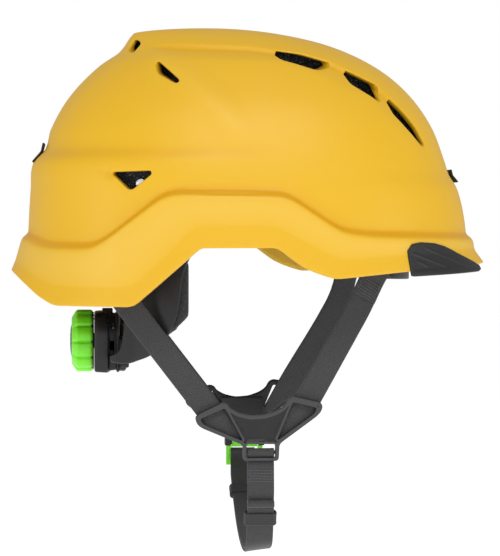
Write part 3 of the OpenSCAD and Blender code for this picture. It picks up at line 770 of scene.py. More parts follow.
# ==== Comfort pads ====
# Foam pads in a dark knitted cover: crown, brow, neck, and one on each nape arm.
# They are cut flat, wrapped and welded at the edge, so they crown between their seams.
knit, tree, shader = surface_material("dark_grey_knit", 0.85, Sheen_Weight=0.25, Sheen_Roughness=0.5)
place = add(tree, "ShaderNodeTexCoord").outputs["Object"]
rib = add(tree, "ShaderNodeTexWave", {"Vector": place, "Scale": 210.0, "Distortion": 1.0}, bands_direction="DIAGONAL")
loops = add(tree, "ShaderNodeTexVoronoi", {"Vector": place, "Scale": 700.0})
knit_height = maths(tree, "ADD", rib.outputs["Fac"], loops.outputs["Distance"])
finish_surface(tree, shader, blend(tree, loops.outputs["Distance"], "#343436", "#232325"), knit_height, 0.35, 0.0005)


def welded(mesh, gap=2e-5):
    """Joins the points of a mesh that lie within a gap, in metres."""
    with editing(mesh) as bm:
        bmesh.ops.remove_doubles(bm, verts=bm.verts, dist=gap)


def baked(piece):
    """Applies a piece's modifiers."""
    bpy.context.view_layer.update()
    piece_now = piece.evaluated_get(bpy.context.evaluated_depsgraph_get())
    mesh = bpy.data.meshes.new_from_object(piece_now)
    piece.modifiers.clear()
    piece.data = mesh
    return mesh


def stuffed(node, voxel, cap, body):
    """A pad blown up from its CAD solid as cloth, each point moving at most cap millimetres."""
    mesh = cad_copy(node, knit)
    welded(mesh)
    pad = placed("padded_" + node, mesh)
    remesh = pad.modifiers.new("even", "REMESH")
    remesh.mode, remesh.voxel_size = "VOXEL", voxel * MM
    start = np.array([v.co for v in baked(pad).vertices])
    cloth = pad.modifiers.new("cloth", "CLOTH")
    cloth.settings.use_pressure = True
    cloth.settings.uniform_pressure_force = 4
    cloth.settings.effector_weights.gravity = 0
    for number in range(1, 21):
        scene.frame_set(number)
    blown = baked(pad)
    scene.frame_set(1)
    move = np.array([v.co for v in blown.vertices]) - start
    size = np.linalg.norm(move, axis=1, keepdims=True)
    kept = start + move * np.minimum(1, cap * MM / np.maximum(size, 1e-9))
    blown.vertices.foreach_set("co", kept.ravel())
    smooth = pad.modifiers.new("even", "SMOOTH")
    smooth.factor, smooth.iterations = 0.5, 4
    finer = pad.modifiers.new("finer", "SUBSURF")
    finer.levels = finer.render_levels = 1
    if not pad.data.materials:
        pad.data.materials.append(knit)
    pad.data.shade_smooth()
    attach(pad, body)
    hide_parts(node)


for node, body, voxel, cap in (("crown_pad", "shell", 3.0, 2.0), ("brow_pad", "shell", 2.2, 0.8),
        ("neck_pad", "cradle", 2.2, 0.8), ("nape_pad_left", "arm_left", 2.2, 0.8),
        ("nape_pad_right", "arm_right", 2.2, 0.8)):
    stuffed(node, voxel, cap, body)

# ==== Headband ====
# A 2 mm nylon strip round the brow and temples, pierced by two rows of airing slots.
# It hangs from the liner's lower edge and carries the nape arms on two temple pins.
black_nylon, tree, shader = surface_material("moulded_black_nylon", 0.42, Specular_IOR_Level=0.35)
# Painted highlight: raised rims are painted paler, as if catching the light; a piece without this attribute has none
painted_rim_highlight = add(tree, "ShaderNodeAttribute", attribute_name="painted_rim_highlight").outputs["Fac"]
shade = blend(tree, painted_rim_highlight, blend(tree, noise(tree, 60.0), "#18181A", "#232325"), "#3F3F41")
finish_surface(tree, shader, shade, noise(tree, 1200.0, 3.0), 0.18, 0.0004)


def wall_strip(name, stations, thick, lip, material, holes=None, side=1, length_step=2.0, rows=16):
    """A standing strip through stations [x, y, low, high], curved smoothly; holes says where it is open."""
    data = np.array(stations, float)
    run = running_length(data[:, :2])
    n = int(run[-1] / length_step) + 2
    place = np.linspace(0, run[-1], n)
    path = [curve(list(zip(run, data[:, k])), place) for k in range(4)]
    dx, dy = np.gradient(path[0]), np.gradient(path[1])
    size = np.hypot(dx, dy)
    out = np.stack([dy / size, -dx / size], 1)
    if np.sum(out * np.stack([path[0] + 5, path[1]], 1)) < 0:
        out = -out
    up = np.linspace(1, 0, rows)
    face, back = [], []
    for i in range(n):
        for u in up:
            z = path[2][i] + lip + (path[3][i] - path[2][i] - 2 * lip) * u
            for points, d in ((face, thick / 2), (back, -thick / 2)):
                points.append((path[0][i] + out[i][0] * d, path[1][i] + out[i][1] * d, z))
    face, back = np.array(face), np.array(back)
    quads = []
    for i in range(n - 1):
        for j in range(rows - 1):
            if holes and holes((place[i] + place[i + 1]) / 2, (up[j] + up[j + 1]) / 2, run[-1]):
                continue
            quads.append([i * rows + j, i * rows + j + 1, (i + 1) * rows + j + 1, (i + 1) * rows + j])
    p, q, r = (face[k] for k in quads[0][:3])
    if np.dot(np.cross(q - p, r - p)[:2], out[0]) < 0:
        quads = [k[::-1] for k in quads]
    face, back = face * (1, side, 1), back * (1, side, 1)
    if side < 0:
        quads = [k[::-1] for k in quads]
    used, quads = used_only(quads)
    return thick_shell(name, face[used], back[used], quads, lip, material)


band_path = [(-44, 79.6), (-20, 80.4), (12, 80), (40, 74.5), (66, 61), (86, 44), (99, 22), (103, 0)]
band_low = ([-44, 14, 40, 66, 103], [-3, -3, -12, -23, -25])
band_high = ([-44, 14, 60, 103], [14, 14, 4, 2])


def airing_slots(run, up, total):
    """Whether a place along and up the headband falls in one of its slots."""
    from_middle = abs(run - total / 2)
    return from_middle < 125 and from_middle % 18 > 7 and (0.18 < up < 0.4 or 0.6 < up < 0.82)


half = [(x, y, np.interp(x, *band_low), np.interp(x, *band_high)) for x, y in band_path]
ring = [(x, -y, low, high) for x, y, low, high in half] + [p for p in half[::-1] if p[1] > 0]
band = wall_strip("nylon_headband", ring, 2.0, 0.6, black_nylon, airing_slots, rows=22)
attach(band, "shell")
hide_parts("headband")
softened("temple_pins", 0.4, black_nylon)

# ==== Nape arms ====
# Two wide flexible arms reach back and down from the temple pins and hold the nape cradle.
# Each is a satin black moulding with a padded inner face, and ends in a toothed rack.


def cut_off(mesh, point, way):
    """Cuts away all of a mesh that lies beyond a plane, and closes the cut."""
    with editing(mesh) as bm:
        whole = list(bm.verts) + list(bm.edges) + list(bm.faces)
        cut = bmesh.ops.bisect_plane(bm, geom=whole, plane_co=point, plane_no=way, clear_outer=True)
        bmesh.ops.holes_fill(bm, edges=[e for e in cut["geom_cut"] if isinstance(e, bmesh.types.BMEdge)], sides=0)


arm_front = [(-30, 74.6, -3, 11), (-40, 74, -9, 12), (-45.6, 73.1, -22, 10), (-47.6, 72.6, -40, 9),
    (-50, 71.9, -49, 7.5), (-55, 70, -59, 2), (-60, 67.7, -66, -4), (-66, 63.6, -71, -11), (-74, 58, -74.5, -22)]
arm_ends = {-1: [(-78, 54.6, -76, -36), (-81, 52.1, -76.3, -62), (-84, 49.6, -76.3, -69), (-88.4, 44.2, -75.6, -71.6)],
    1: [(-78, 54.6, -76, -34), (-81, 52.1, -68, -45), (-84, 49.6, -60.5, -52.5), (-88.4, 44.2, -57.4, -53.4)]}
pivot_x, pivot_z = -38, 3
for side, name in ((1, "left"), (-1, "right")):
    arm = wall_strip(f"nape_panel_{name}", arm_front + arm_ends[side], 2.0, 0.7, black_nylon, side=side,
        length_step=1.5, rows=26)
    rack = cad_copy(f"nape_arm_{name}", black_nylon)
    welded(rack)
    for cut_y, way in ((43.5, side), (-13.4, -side)):
        cut_off(rack, (0, side * cut_y * MM, 0), (0, way, 0))
    toothed = placed(f"toothed_rack_{name}", rack)
    boss, quads = [], []
    for y, r in ((73.0, 6.5), (75.2, 6.5), (75.8, 5.9), (75.8, 2.6), (72.8, 2.6), (72.8, 6.5)):
        boss += [(pivot_x + r * math.cos(k), side * y, pivot_z + r * math.sin(k))
            for k in np.linspace(0, 2 * math.pi, 40, endpoint=False)]
    # The last row joins the first, so the boss is a closed ring
    for i in range(len(boss) // 40):
        for k in range(40):
            quad = [i * 40 + k, i * 40 + (k + 1) % 40, (i + 1) % 6 * 40 + (k + 1) % 40, (i + 1) % 6 * 40 + k]
            quads.append(quad if side < 0 else quad[::-1])
    hub = new_piece(f"temple_boss_{name}", boss, quads, black_nylon)
    for piece in (arm, toothed, hub):
        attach(piece, f"arm_{name}")
    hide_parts(f"nape_arm_{name}")

# ==== Nape ratchet ====
# The cradle behind the head: a two-part black housing round a pinion that drives both racks.
# Raised ribs give the thumb a hold at the top corner of each side.
knob_z = (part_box("knob")[0].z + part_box("knob")[1].z) / 2 / MM


def outward(mesh):
    """Turns all faces of a closed mesh outwards."""
    with editing(mesh) as bm:
        bmesh.ops.recalc_face_normals(bm, faces=bm.faces)


def tube_faces(rows, around):
    """Quads between rows of points that each run round a closed line."""
    return [[i * around + k, (i + 1) * around + k, (i + 1) * around + (k + 1) % around, i * around + (k + 1) % around]
        for i in range(rows - 1) for k in range(around)]


def moulded_block(name, outline, levels, cuts=(), corner_r=3.0):
    """A solid lofted along x: the (y, z) outline let out by levels [(x, grow)], less boxes (low, high)."""
    loop = rounded(outline, corner_r, 0, 1.0)
    away = outline_normals(loop)
    n = len(loop)
    points = [(x, p[0] + g * d[0], p[1] + g * d[1]) for x, g in levels for p, d in zip(loop, away)]
    quads = tube_faces(len(levels), n) + [list(range(n)), list(range(len(points) - 1, len(points) - n - 1, -1))]
    piece = new_piece(name, points, quads, black_nylon, False)
    outward(piece.data)
    for low, high in cuts:
        corners = [(x, y, z) for x in (low[0], high[0]) for y in (low[1], high[1]) for z in (low[2], high[2])]
        cutter = new_piece("cutter", corners, [(0, 1, 3, 2), (4, 6, 7, 5), (0, 4, 5, 1), (2, 3, 7, 6), (0, 2, 6, 4),
            (1, 5, 7, 3)], black_nylon, False)
        less = piece.modifiers.new("cut", "BOOLEAN")
        less.object, less.solver = cutter, "EXACT"
        baked(piece)
        bpy.data.objects.remove(cutter)
    piece.data.shade_smooth()
    piece.data.set_sharp_from_angle(angle=math.radians(40))
    return piece


def level_with(points):
    """Points (y, z) whose heights are given from the knob's axis."""
    return [(y, knob_z + z) for y, z in points]


housing = level_with([(-16, 18.6), (-25.5, 14), (-29, 8), (-29, -9), (-26.5, -19), (26.5, -19), (29, -9), (29, 8),
    (25.5, 14), (16, 18.6)])
cover = moulded_block("ratchet_cover_shell", housing, [(-99, -4), (-99, -1.2), (-98.7, -0.5), (-98, 0), (-91.2, 0.4),
    (-90.7, 0.3), (-90.5, -0.1), (-90.5, -4)])
# The base is hollow for the pinion and open at each side for a rack
base = moulded_block("ratchet_base_shell", housing, [(-90.3, -4), (-90.3, -0.3), (-90, 0.1), (-89.6, -0.2),
    (-89.2, -0.9), (-85.7, -1.4), (-85.2, -0.9), (-84.8, 0), (-83.9, 0.1), (-83.4, -0.5), (-83.2, -1.4), (-83.2, -4)],
    [((-89.6, -27, knob_z - 12.6), (-86.4, 27, knob_z + 12.6)), ((-89.6, -33, knob_z - 12), (-86.6, -26, knob_z + 1)),
    ((-89.6, 26, knob_z - 1), (-86.6, 33, knob_z + 12))])
for piece, node in ((cover, "ratchet_cover"), (base, "ratchet_base")):
    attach(piece, "cradle")
    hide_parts(node)
for side, name in ((1, "left"), (-1, "right")):
    lug_outline = level_with([(side * 22, 4.5), (side * 33, 3), (side * 34, -17), (side * 22, -18.8)])
    tab_outline = level_with([(side * 30, -11), (side * 35.4, -11.3), (side * 35.4, -15.4), (side * 30, -15.8)])
    lug = moulded_block(f"cradle_lug_{name}", lug_outline,
        [(-83.3, -1), (-83.2, -0.2), (-80.5, 0), (-79.3, -0.8), (-78.7, -2.2), (-78.5, -4)])
    tab = moulded_block(f"cradle_tab_{name}", tab_outline, [(-82.6, -0.6), (-82.2, 0), (-78, 0), (-77.4, -0.6)],
        corner_r=1.5)
    for piece in (lug, tab):
        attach(piece, "cradle")
saddle = moulded_block("housing_saddle", level_with([(-8, 17.5), (-8, 20.6), (8, 20.6), (8, 17.5)]),
    [(-93.9, -0.4), (-93.6, 0), (-87.6, 0), (-87.2, -0.4)], corner_r=1.2)
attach(saddle, "cradle")
softened("pinion", 0.15, black_nylon)
softened("ratchet_ring", 0.5, black_nylon)


def repeat_along(name, path, spacing, shape, size, material, turn=(0, 0, 0)):
    """A node tree that sets one small shape again and again along a path, then makes it a plain mesh."""
    line = bpy.data.meshes.new(name)
    line.from_pydata([tuple(c * MM for c in p) for p in path], [(i, i + 1) for i in range(len(path) - 1)], [])
    piece = placed(name, line)
    tree = bpy.data.node_groups.new(name, "GeometryNodeTree")
    tree.interface.new_socket("Line", in_out="INPUT", socket_type="NodeSocketGeometry")
    gap = tree.interface.new_socket("Spacing", in_out="INPUT", socket_type="NodeSocketFloat")
    box = tree.interface.new_socket("Size", in_out="INPUT", socket_type="NodeSocketVector")
    lean = tree.interface.new_socket("Turn", in_out="INPUT", socket_type="NodeSocketVector")
    tree.interface.new_socket("Pieces", in_out="OUTPUT", socket_type="NodeSocketGeometry")
    given = tree.nodes.new("NodeGroupInput")
    as_curve = add(tree, "GeometryNodeMeshToCurve", {"Mesh": given.outputs["Line"]})
    spaced = add(tree, "GeometryNodeResampleCurve", {"Curve": as_curve.outputs["Curve"],
        "Length": given.outputs["Spacing"]}, mode="LENGTH")
    turned = add(tree, "FunctionNodeAlignEulerToVector", {"Vector": add(tree, "GeometryNodeInputTangent").outputs[0]},
        axis="X")
    if shape == "thread":
        one = add(tree, "GeometryNodeMeshUVSphere", {"Segments": 8, "Rings": 6, "Radius": 0.5}).outputs["Mesh"]
    else:
        one = add(tree, "GeometryNodeMeshCube", {"Size": (1, 1, 1)}).outputs["Mesh"]
    sized = add(tree, "GeometryNodeTransform", {"Geometry": one, "Scale": given.outputs["Size"],
        "Rotation": given.outputs["Turn"]})
    copies = add(tree, "GeometryNodeInstanceOnPoints", {"Points": spaced.outputs["Curve"],
        "Instance": sized.outputs["Geometry"], "Rotation": turned.outputs[0]})
    real = add(tree, "GeometryNodeRealizeInstances", {"Geometry": copies.outputs["Instances"]})
    dressed = add(tree, "GeometryNodeSetMaterial", {"Geometry": real.outputs["Geometry"], "Material": material})
    result = tree.nodes.new("NodeGroupOutput")
    tree.links.new(dressed.outputs["Geometry"], result.inputs[0])
    modifier = piece.modifiers.new("repeat", "NODES")
    modifier.node_group = tree
    modifier[gap.identifier] = spacing * MM
    modifier[box.identifier] = [c * MM for c in size]
    modifier[lean.identifier] = [float(c) for c in turn]
    baked(piece).shade_smooth()
    return piece


for side, name in ((1, "left"), (-1, "right")):
    ribs = repeat_along(f"grip_ribs_{name}", [(-98.2, side * 20.8, knob_z + 16.4), (-91.4, side * 20.8, knob_z + 16.4)],
        0.95, "bar", (0.4, 8.4, 0.5), black_nylon, (-side * 0.45, 0, 0.3 * side))
    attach(ribs, "cradle")

# ==== Adjusting knob ====
# The ratchet wheel: bright green acetal, 40 mm across, with eleven rounded grips round it,
# a chamfer to the front, and a domed black cap over its screw.
green_acetal, tree, shader = surface_material("moulded_green_acetal", 0.32, Subsurface_Weight=0.06,
    Subsurface_Scale=0.004)
shade = blend(tree, noise(tree, 90.0), "#70DE1C", "#7CEA26")
finish_surface(tree, shader, shade, noise(tree, 1500.0), 0.08, 0.0003)
knob_low, knob_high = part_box("knob")
knob_r = (knob_high.y - knob_low.y) / 2 / MM
front_x, back_x = knob_low.x / MM, knob_high.x / MM + 1.7
lobes, around = 11, 330
turned_at = np.linspace(0, 2 * math.pi, around, endpoint=False)
phase = (turned_at * lobes / (2 * math.pi)) % 1
notch = np.exp(-((phase - 0.5) / 0.075) ** 2)
swell = 0.35 * np.cos(2 * math.pi * phase)
# Rows of (x, radius, how much of the grips' swell), from the cap's seat round to the bore
profile = [(front_x + 2.6, 11.1, 0), (front_x + 0.3, 11.1, 0), (front_x, 11.5, 0), (front_x, 14.2, 0.1),
    (front_x + 0.25, 15.2, 0.3), (front_x + 2.6, knob_r - 1.3, 0.8), (front_x + 3.4, knob_r - 0.6, 1),
    (front_x + 4.4, knob_r - 0.35, 1), (back_x - 2.2, knob_r - 0.35, 1), (back_x - 1.2, knob_r - 0.5, 1),
    (back_x - 0.3, knob_r - 1.3, 0.8), (back_x, knob_r - 2.2, 0.5), (back_x, 5.2, 0), (back_x - 3, 5.2, 0)]
points = []
for x, r, grip in profile:
    reach = r + grip * (swell - 1.5 * notch)
    points += list(zip([x] * around, reach * np.cos(turned_at), knob_z + reach * np.sin(turned_at)))
quads = tube_faces(len(profile), around)
for i, flip in ((0, True), (len(profile) - 1, False)):
    points.append((profile[i][0], 0, knob_z))
    fan = [[len(points) - 1, i * around + k, i * around + (k + 1) % around] for k in range(around)]
    quads += fan if flip else [f[::-1] for f in fan]
wheel = new_piece("lobed_knob", points, quads, green_acetal)
wheel.data.validate()
outward(wheel.data)
wheel.data.shade_smooth()
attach(wheel, "knob")
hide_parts("knob")
cap_profile = [(front_x - 1.0, 0.01), (front_x - 0.95, 4), (front_x - 0.7, 7.5), (front_x - 0.3, 9.6),
    (front_x + 0.2, 10.7), (front_x + 1.4, 11.0), (front_x + 2.2, 10.6), (front_x + 2.2, 0.01)]
cap_turns = np.linspace(0, 2 * math.pi, 64, endpoint=False)
points = [(x, r * math.cos(k), knob_z + r * math.sin(k)) for x, r in cap_profile for k in cap_turns]
cap = new_piece("knob_cap_dome", points, tube_faces(len(cap_profile), len(cap_turns)), black_nylon)
welded(cap.data, 5e-5)
outward(cap.data)
cap.data.shade_smooth()
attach(cap, "knob")
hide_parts("knob_cap")

# ==== Strap anchors ====
# Each side strap hangs on two stiff nylon plates that plug into the liner.
# A rolled eye on the strap's end fitting turns on a pin between two ears.
for which in ("front", "rear"):
    for name in ("left", "right"):
        softened(f"anchor_{which}_{name}", 0.35, black_nylon)
        softened(f"strap_end_{which}_{name}", 0.45, black_nylon)

# ==== Side straps ====
# Grey-black polyester webbing, woven in a herringbone twill. On each side a front and a rear strap
# loop through their end fittings, are sewn back on themselves, and meet in the divider.
strap_webbing, tree, shader = surface_material("twill_polyester_webbing", 0.78, Sheen_Weight=0.2, Sheen_Roughness=0.45)
weave = add(tree, "ShaderNodeSeparateXYZ", {0: add(tree, "ShaderNodeUVMap", uv_map="weave").outputs["UV"]})
slant = maths(tree, "ADD", maths(tree, "PINGPONG", weave.outputs["X"], 4.2), weave.outputs["Y"])
twill = maths(tree, "SINE", maths(tree, "MULTIPLY", slant, 5.2))
yarn = maths(tree, "SINE", maths(tree, "MULTIPLY", weave.outputs["X"], 9.0))
woven = maths(tree, "MULTIPLY_ADD", maths(tree, "MULTIPLY", twill, yarn), 0.35, twill)
level = add(tree, "ShaderNodeMapRange", {"Value": woven, "From Min": -1.3, "From Max": 1.3}).outputs[0]
mixed = maths(tree, "MULTIPLY", noise(tree, 1500.0, 3.0), level)
finish_surface(tree, shader, blend(tree, mixed, "#252526", "#5A5A5C"), level, 0.5, 0.0003)
thread, tree, shader = surface_material("bonded_black_thread", 0.6)
finish_surface(tree, shader, blend(tree, noise(tree, 2000.0), "#3A3A3C", "#6A6A6D"))


def smooth_path(points, spacing=1.0, passes=3):
    """The points' line with its corners cut round, in even steps."""
    path = np.array(points, float)
    for _ in range(passes):
        near, far = 0.75 * path[:-1] + 0.25 * path[1:], 0.25 * path[:-1] + 0.75 * path[1:]
        path = np.vstack([path[:1], np.stack([near, far], 1).reshape(-1, path.shape[1]), path[-1:]])
    length = running_length(path)[-1]
    return resampled(path, np.linspace(0, length, max(2, int(length / spacing) + 1)))


def tacked(name, rows, size):
    """Bar-tack stitching: one thread laid to and fro along rows, each a pair of end points."""
    line = [end for k, ends in enumerate(rows) for end in (ends if k % 2 == 0 else ends[::-1])]
    stitch = 1.15
    return repeat_along(name, line, stitch, "thread", size, thread)


def webbing(name, path, across, width, thick, material, closed=False, trims=()):
    """A woven strip along a path, with rounded selvedges and a UV map in millimetres; trims cut it off."""
    path = np.array(path, float)
    n = len(path)
    across = np.broadcast_to(np.array(across, float), path.shape)
    tangent = np.roll(path, -1, 0) - np.roll(path, 1, 0) if closed else np.gradient(path, axis=0)
    normal = unit(np.cross(tangent, across))
    half = width / 2 - thick / 2
    u = np.linspace(-half, half, 9)
    selvedge, bead = 1.2, 0.09
    bulge = np.where(np.abs(u) > half - selvedge, bead, 0.0)
    turn_at = np.radians([60, 30, 0, -30, -60])
    section = np.vstack([np.stack([u, thick / 2 + bulge], 1),
        np.stack([half + thick / 2 * np.cos(turn_at), thick / 2 * np.sin(turn_at)], 1),
        np.stack([u[::-1], -thick / 2 - bulge], 1),
        np.stack([-half - thick / 2 * np.cos(turn_at), -thick / 2 * np.sin(turn_at)], 1)])
    m = len(section)
    girth, run = running_length(section, True), running_length(path, True)
    points = path[:, None] + section[None, :, :1] * across[:, None] + section[None, :, 1:] * normal[:, None]
    points = points.reshape(-1, 3)
    quads, maps = [], []
    for i in range(n if closed else n - 1):
        for k in range(m):
            here, on, right = i * m, (i + 1) % n * m, (k + 1) % m
            quads.append([here + k, here + right, on + right, on + k])
            maps.append([(girth[u], run[v]) for u, v in ((k, i), (k + 1, i), (k + 1, i + 1), (k, i + 1))])
    if not closed:
        for i, order in ((0, range(m - 1, -1, -1)), (n - 1, range(m))):
            quads.append([i * m + k for k in order])
            maps.append([tuple(section[k]) for k in order])
    corner_points = points[[q[:3] for q in quads[:-2 if not closed else None]]]
    volume = np.einsum("ij,ij->", corner_points[:, 0], np.cross(corner_points[:, 1], corner_points[:, 2]))
    if volume < 0:
        quads, maps = [q[::-1] for q in quads], [c[::-1] for c in maps]
    piece = new_piece(name, points, quads, material)
    layer = piece.data.uv_layers.new(name="weave")
    layer.data.foreach_set("uv", np.array([c for face in maps for c in face], float).ravel())
    for point, way in trims:
        cut_off(piece.data, Vector(point) * MM, way)
    return piece


hang = {"front": (81, -6, math.atan2(40, 71.9)), "rear": (-98, -14, -math.atan2(60, 78.3))}
strap_y, fold_z, side_w, strap_t = 74, -121.9, 15.5, 1.2
# Each strap is cut level at the fold and slanting along the divider's lower edge
strap_trims = {"front": [((0, 0, fold_z), (0, 0, -1)), ((36.2, 0, -106.2), (0.59, 0, -0.81))],
    "rear": [((0, 0, fold_z), (0, 0, -1)), ((-33.2, 0, -113.1), (-0.386, 0, -0.922))]}


def strap_point(which, side, x, y, down):
    """A point of a side strap: x across it, y out of its face, and down from its hinge pin."""
    at_x, at_z, lean = hang[which]
    return (at_x + x * math.cos(lean) - down * math.sin(lean), side * (strap_y + y),
        at_z - x * math.sin(lean) - down * math.cos(lean))


for side, name in ((1, "left"), (-1, "right")):
    for which, length in (("front", 142), ("rear", 148)):
        lean = hang[which][2]
        bend = [(2.25 * math.cos(k), 12.1 - 2.25 * math.sin(k)) for k in np.linspace(math.pi, 0, 9)]
        layers = [(0.3, length), (0.3, 100), (0.2, 60), (-0.1, 36), (-0.35, 20), (-1.9, 15.8), (-2.25, 13.8), *bend,
            (2.25, 14), (2.0, 15.8), (0.95, 19.5), (1.0, 26), (1.15, 32.5)]
        # The webbing runs a little forward of the fitting's middle by the time it reaches the divider
        shift = {("front", 1): 3.2, ("front", -1): 1.5, ("rear", 1): 0.5, ("rear", -1): 0}[which, side]
        extra = 2.0 if (which, side) == ("front", 1) else 0

        def forward(down):
            return shift * step((down - 14) / 30) + extra * step((down - 14) / 18) * step((110 - down) / 60)

        path = [strap_point(which, side, forward(down), y, down) for y, down in smooth_path(layers, 1.2, 2)]
        strap = webbing(f"{which}_webbing_{name}", path, (math.cos(lean), 0, -math.sin(lean)), side_w, strap_t,
            strap_webbing, trims=strap_trims[which])
        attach(strap, f"side_{name}")
        if which == "front":
            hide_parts(f"side_strap_{name}")
        tack = [[strap_point(which, side, forward(down) + x, 1.75, down + lift) for x, lift in ((-6, 0), (6, 0.25))]
            for down in np.arange(21.5, 31.6, 1.7)]
        stitches = tacked(f"{which}_bar_tack_{name}", tack, (1.25, 0.45, 0.5))
        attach(stitches, f"side_{name}")
    join_path = [(x, side * (strap_y - 0.75), -117.6) for x in np.linspace(-14, 16, 16)]
    join = webbing(f"joined_fold_{name}", join_path, (0, 0, 1), 8.6, 0.7, strap_webbing)
    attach(join, f"side_{name}")

# ==== Strap dividers ====
# The Y-shaped yoke below each ear: a black nylon plate with raised rims round its edge and windows.
# The right one has a slot and bar for the chin strap; the left one plugs into the buckle.
divider_top = [(-36.8, -111.9), (-37.8, -107.6), (-35.5, -105.6), (-21, -98.6), (-17.7, -99.6), (-16, -102.4),
    (-11, -105.2), (-3.6, -107), (5.2, -106.4), (12.5, -103.9), (17.1, -100.9), (19.3, -96.6), (22.3, -95.2),
    (25, -95.6), (39.5, -99), (40.7, -101.3), (39.8, -104.6), (37, -107.6), (14, -124.4)]
chin_slot_foot = [(13.6, -134.8), (-8.4, -134.8), (-8.4, -125), (-33.7, -114.4)]
buckle_foot = [(10.6, -124.4), (10.6, -127), (-5.4, -127), (-5.4, -125.8), (-33.7, -114.4)]
window_rear = [(-34.6, -108.9), (-19.5, -102.3), (-8.5, -122.4), (-32.6, -111.9)]
window_front = [(22.3, -98.8), (37, -102.4), (35, -106), (12.7, -122)]
chin_slot = [(-6.2, -132.8), (11.4, -132.8), (11.4, -124.4), (-6.2, -124.4)]
centre_panel = [(-14.5, -110.0), (17.4, -108.4), (13.6, -122.6), (-7.6, -124.0)]
rim_w, window_rim, rim_h, plate_lip = 2.1, 1.35, 0.75, 0.6
plate_face, plate_back = 77.35, 75.0


def gap_to(loop, x, y):
    """Distance from points to a closed outline."""
    a, b = loop, np.roll(loop, -1, 0)
    ab = b - a
    px, py = x[:, None] - a[None, :, 0], y[:, None] - a[None, :, 1]
    t = np.clip((px * ab[:, 0] + py * ab[:, 1]) / np.sum(ab * ab, 1), 0, 1)
    return np.hypot(px - t * ab[:, 0], py - t * ab[:, 1]).min(1)


def rimmed_plate(name, outline, windows, panel, side, face_y, back_y, material):
    """A plate in the x-z plane with a raised, rounded rim along its outline and round each window."""
    edge_loops = [rounded(outline, 2.2, 0, 0.8)] + [rounded(w, 1.2, 0, 0.8) for w in windows]
    loops = [rounded(outline, 2.2, -g, 0.9) for g in (plate_lip, rim_w * 0.75, rim_w, rim_w + 0.45)]
    loops += [rounded(w, 1.2, g, 0.9) for w in windows
        for g in (plate_lip, window_rim - 0.3, window_rim, window_rim + 0.45)]
    loops += [rounded(panel, 1, g, 0.9) for g in (0, -0.5)]
    points, edges = [], []
    for loop in loops:
        start = len(points)
        points += [Vector(p) for p in loop]
        edges += [(start + k, start + (k + 1) % len(loop)) for k in range(len(loop))]
    low, high = np.min(outline, 0), np.max(outline, 0)
    points += [Vector((x, z)) for x in np.arange(low[0], high[0], 3.0) for z in np.arange(low[1], high[1], 3.0)]
    flat, _, tris, _, _, _ = delaunay_2d_cdt(points, edges, [], 0, 1e-3)
    flat = np.array([tuple(p) for p in flat])
    gap = np.min([gap_to(loop, flat[:, 0], flat[:, 1]) - (window_rim if k else rim_w)
        for k, loop in enumerate(edge_loops)], 0)
    hold = [loops[0]] + [loops[4 + 4 * k] for k in range(len(windows))]
    faces = []
    for tri in tris:
        cx, cz = flat[list(tri)].mean(0)
        if not inside(hold[0], cx, cz) or any(inside(w, cx, cz) for w in hold[1:]):
            continue
        (ax, az), (bx, bz), (ex, ez) = flat[list(tri)]
        spin = (bx - ax) * (ez - az) - (bz - az) * (ex - ax)
        if abs(spin) > 1e-6:
            faces.append(list(tri) if spin * -side > 0 else list(tri)[::-1])
    rise = rim_h * step(1 - gap / 0.45)
    sunk = np.array([bool(inside(np.array(panel), x, z)) for x, z in flat])
    in_panel = np.where(sunk, step(gap_to(np.array(panel, float), flat[:, 0], flat[:, 1]) / 0.5), 0)
    height = rise + np.where(rise > 0.02, 0, -0.45 * in_panel)
    used, faces = used_only(faces)
    face = [(flat[v][0], side * (face_y + height[v]), flat[v][1]) for v in used]
    back = [(flat[v][0], side * back_y, flat[v][1]) for v in used]
    plate = thick_shell(name, face, back, faces, plate_lip, material)
    # Painted highlight: the higher a point stands on a rim, the paler it is painted.
    painted_rim_highlight = plate.data.attributes.new("painted_rim_highlight", "FLOAT", "POINT")
    out = np.empty(len(plate.data.vertices) * 3)
    plate.data.vertices.foreach_get("co", out)
    out = side * out.reshape(-1, 3)[:, 1] / MM - face_y
    painted_rim_highlight.data.foreach_set("value", np.clip(out / rim_h, 0, 1).astype(np.float32))
    return plate


for side, name in ((1, "left"), (-1, "right")):
    outline = divider_top + (buckle_foot if side > 0 else chin_slot_foot)
    windows = [window_rear, window_front] + ([chin_slot] if side < 0 else [])
    yoke = rimmed_plate(f"yoke_{name}", outline, windows, centre_panel, side, plate_face, plate_back, black_nylon)
    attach(yoke, f"side_{name}")
    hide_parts(f"divider_{name}")
    softened(f"divider_back_{name}", 0.3, black_nylon)

# ==== Buckle ====
# The quick-release on the left side: a black socket over the divider's foot, a green button,
# and a green tongue with a bar for the chin strap.
softened("buckle_socket", 1.2, black_nylon, 4)
softened("release_button", 0.8, green_acetal, 4)
softened("buckle_tongue", 0.7, green_acetal, 3)

# ==== Chin strap ====
# One length of the same webbing: sewn round the right divider's bar, under the chin,
# through the buckle tongue, and back along itself to a rolled hem that stops it pulling out.
chin_x, chin_w, chin_t, layer = 2.6, 16.5, 1.3, 1.75


def arc(centre, r, start, end, n=12):
    """Points on a circle from one angle to another, in degrees."""
    return [(centre[0] + r * math.cos(math.radians(k)), centre[1] + r * math.sin(math.radians(k)))
        for k in np.linspace(start, end, n + 1)]


def bezier(a, b, c, d, n=14):
    """Points on a cubic curve from a to d, drawn towards b and c."""
    a, b, c, d = (np.array(p, float) for p in (a, b, c, d))
    return [tuple((1 - t) ** 3 * a + 3 * (1 - t) ** 2 * t * b + 3 * (1 - t) * t * t * c + t ** 3 * d)
        for t in np.linspace(0, 1, n + 1)]


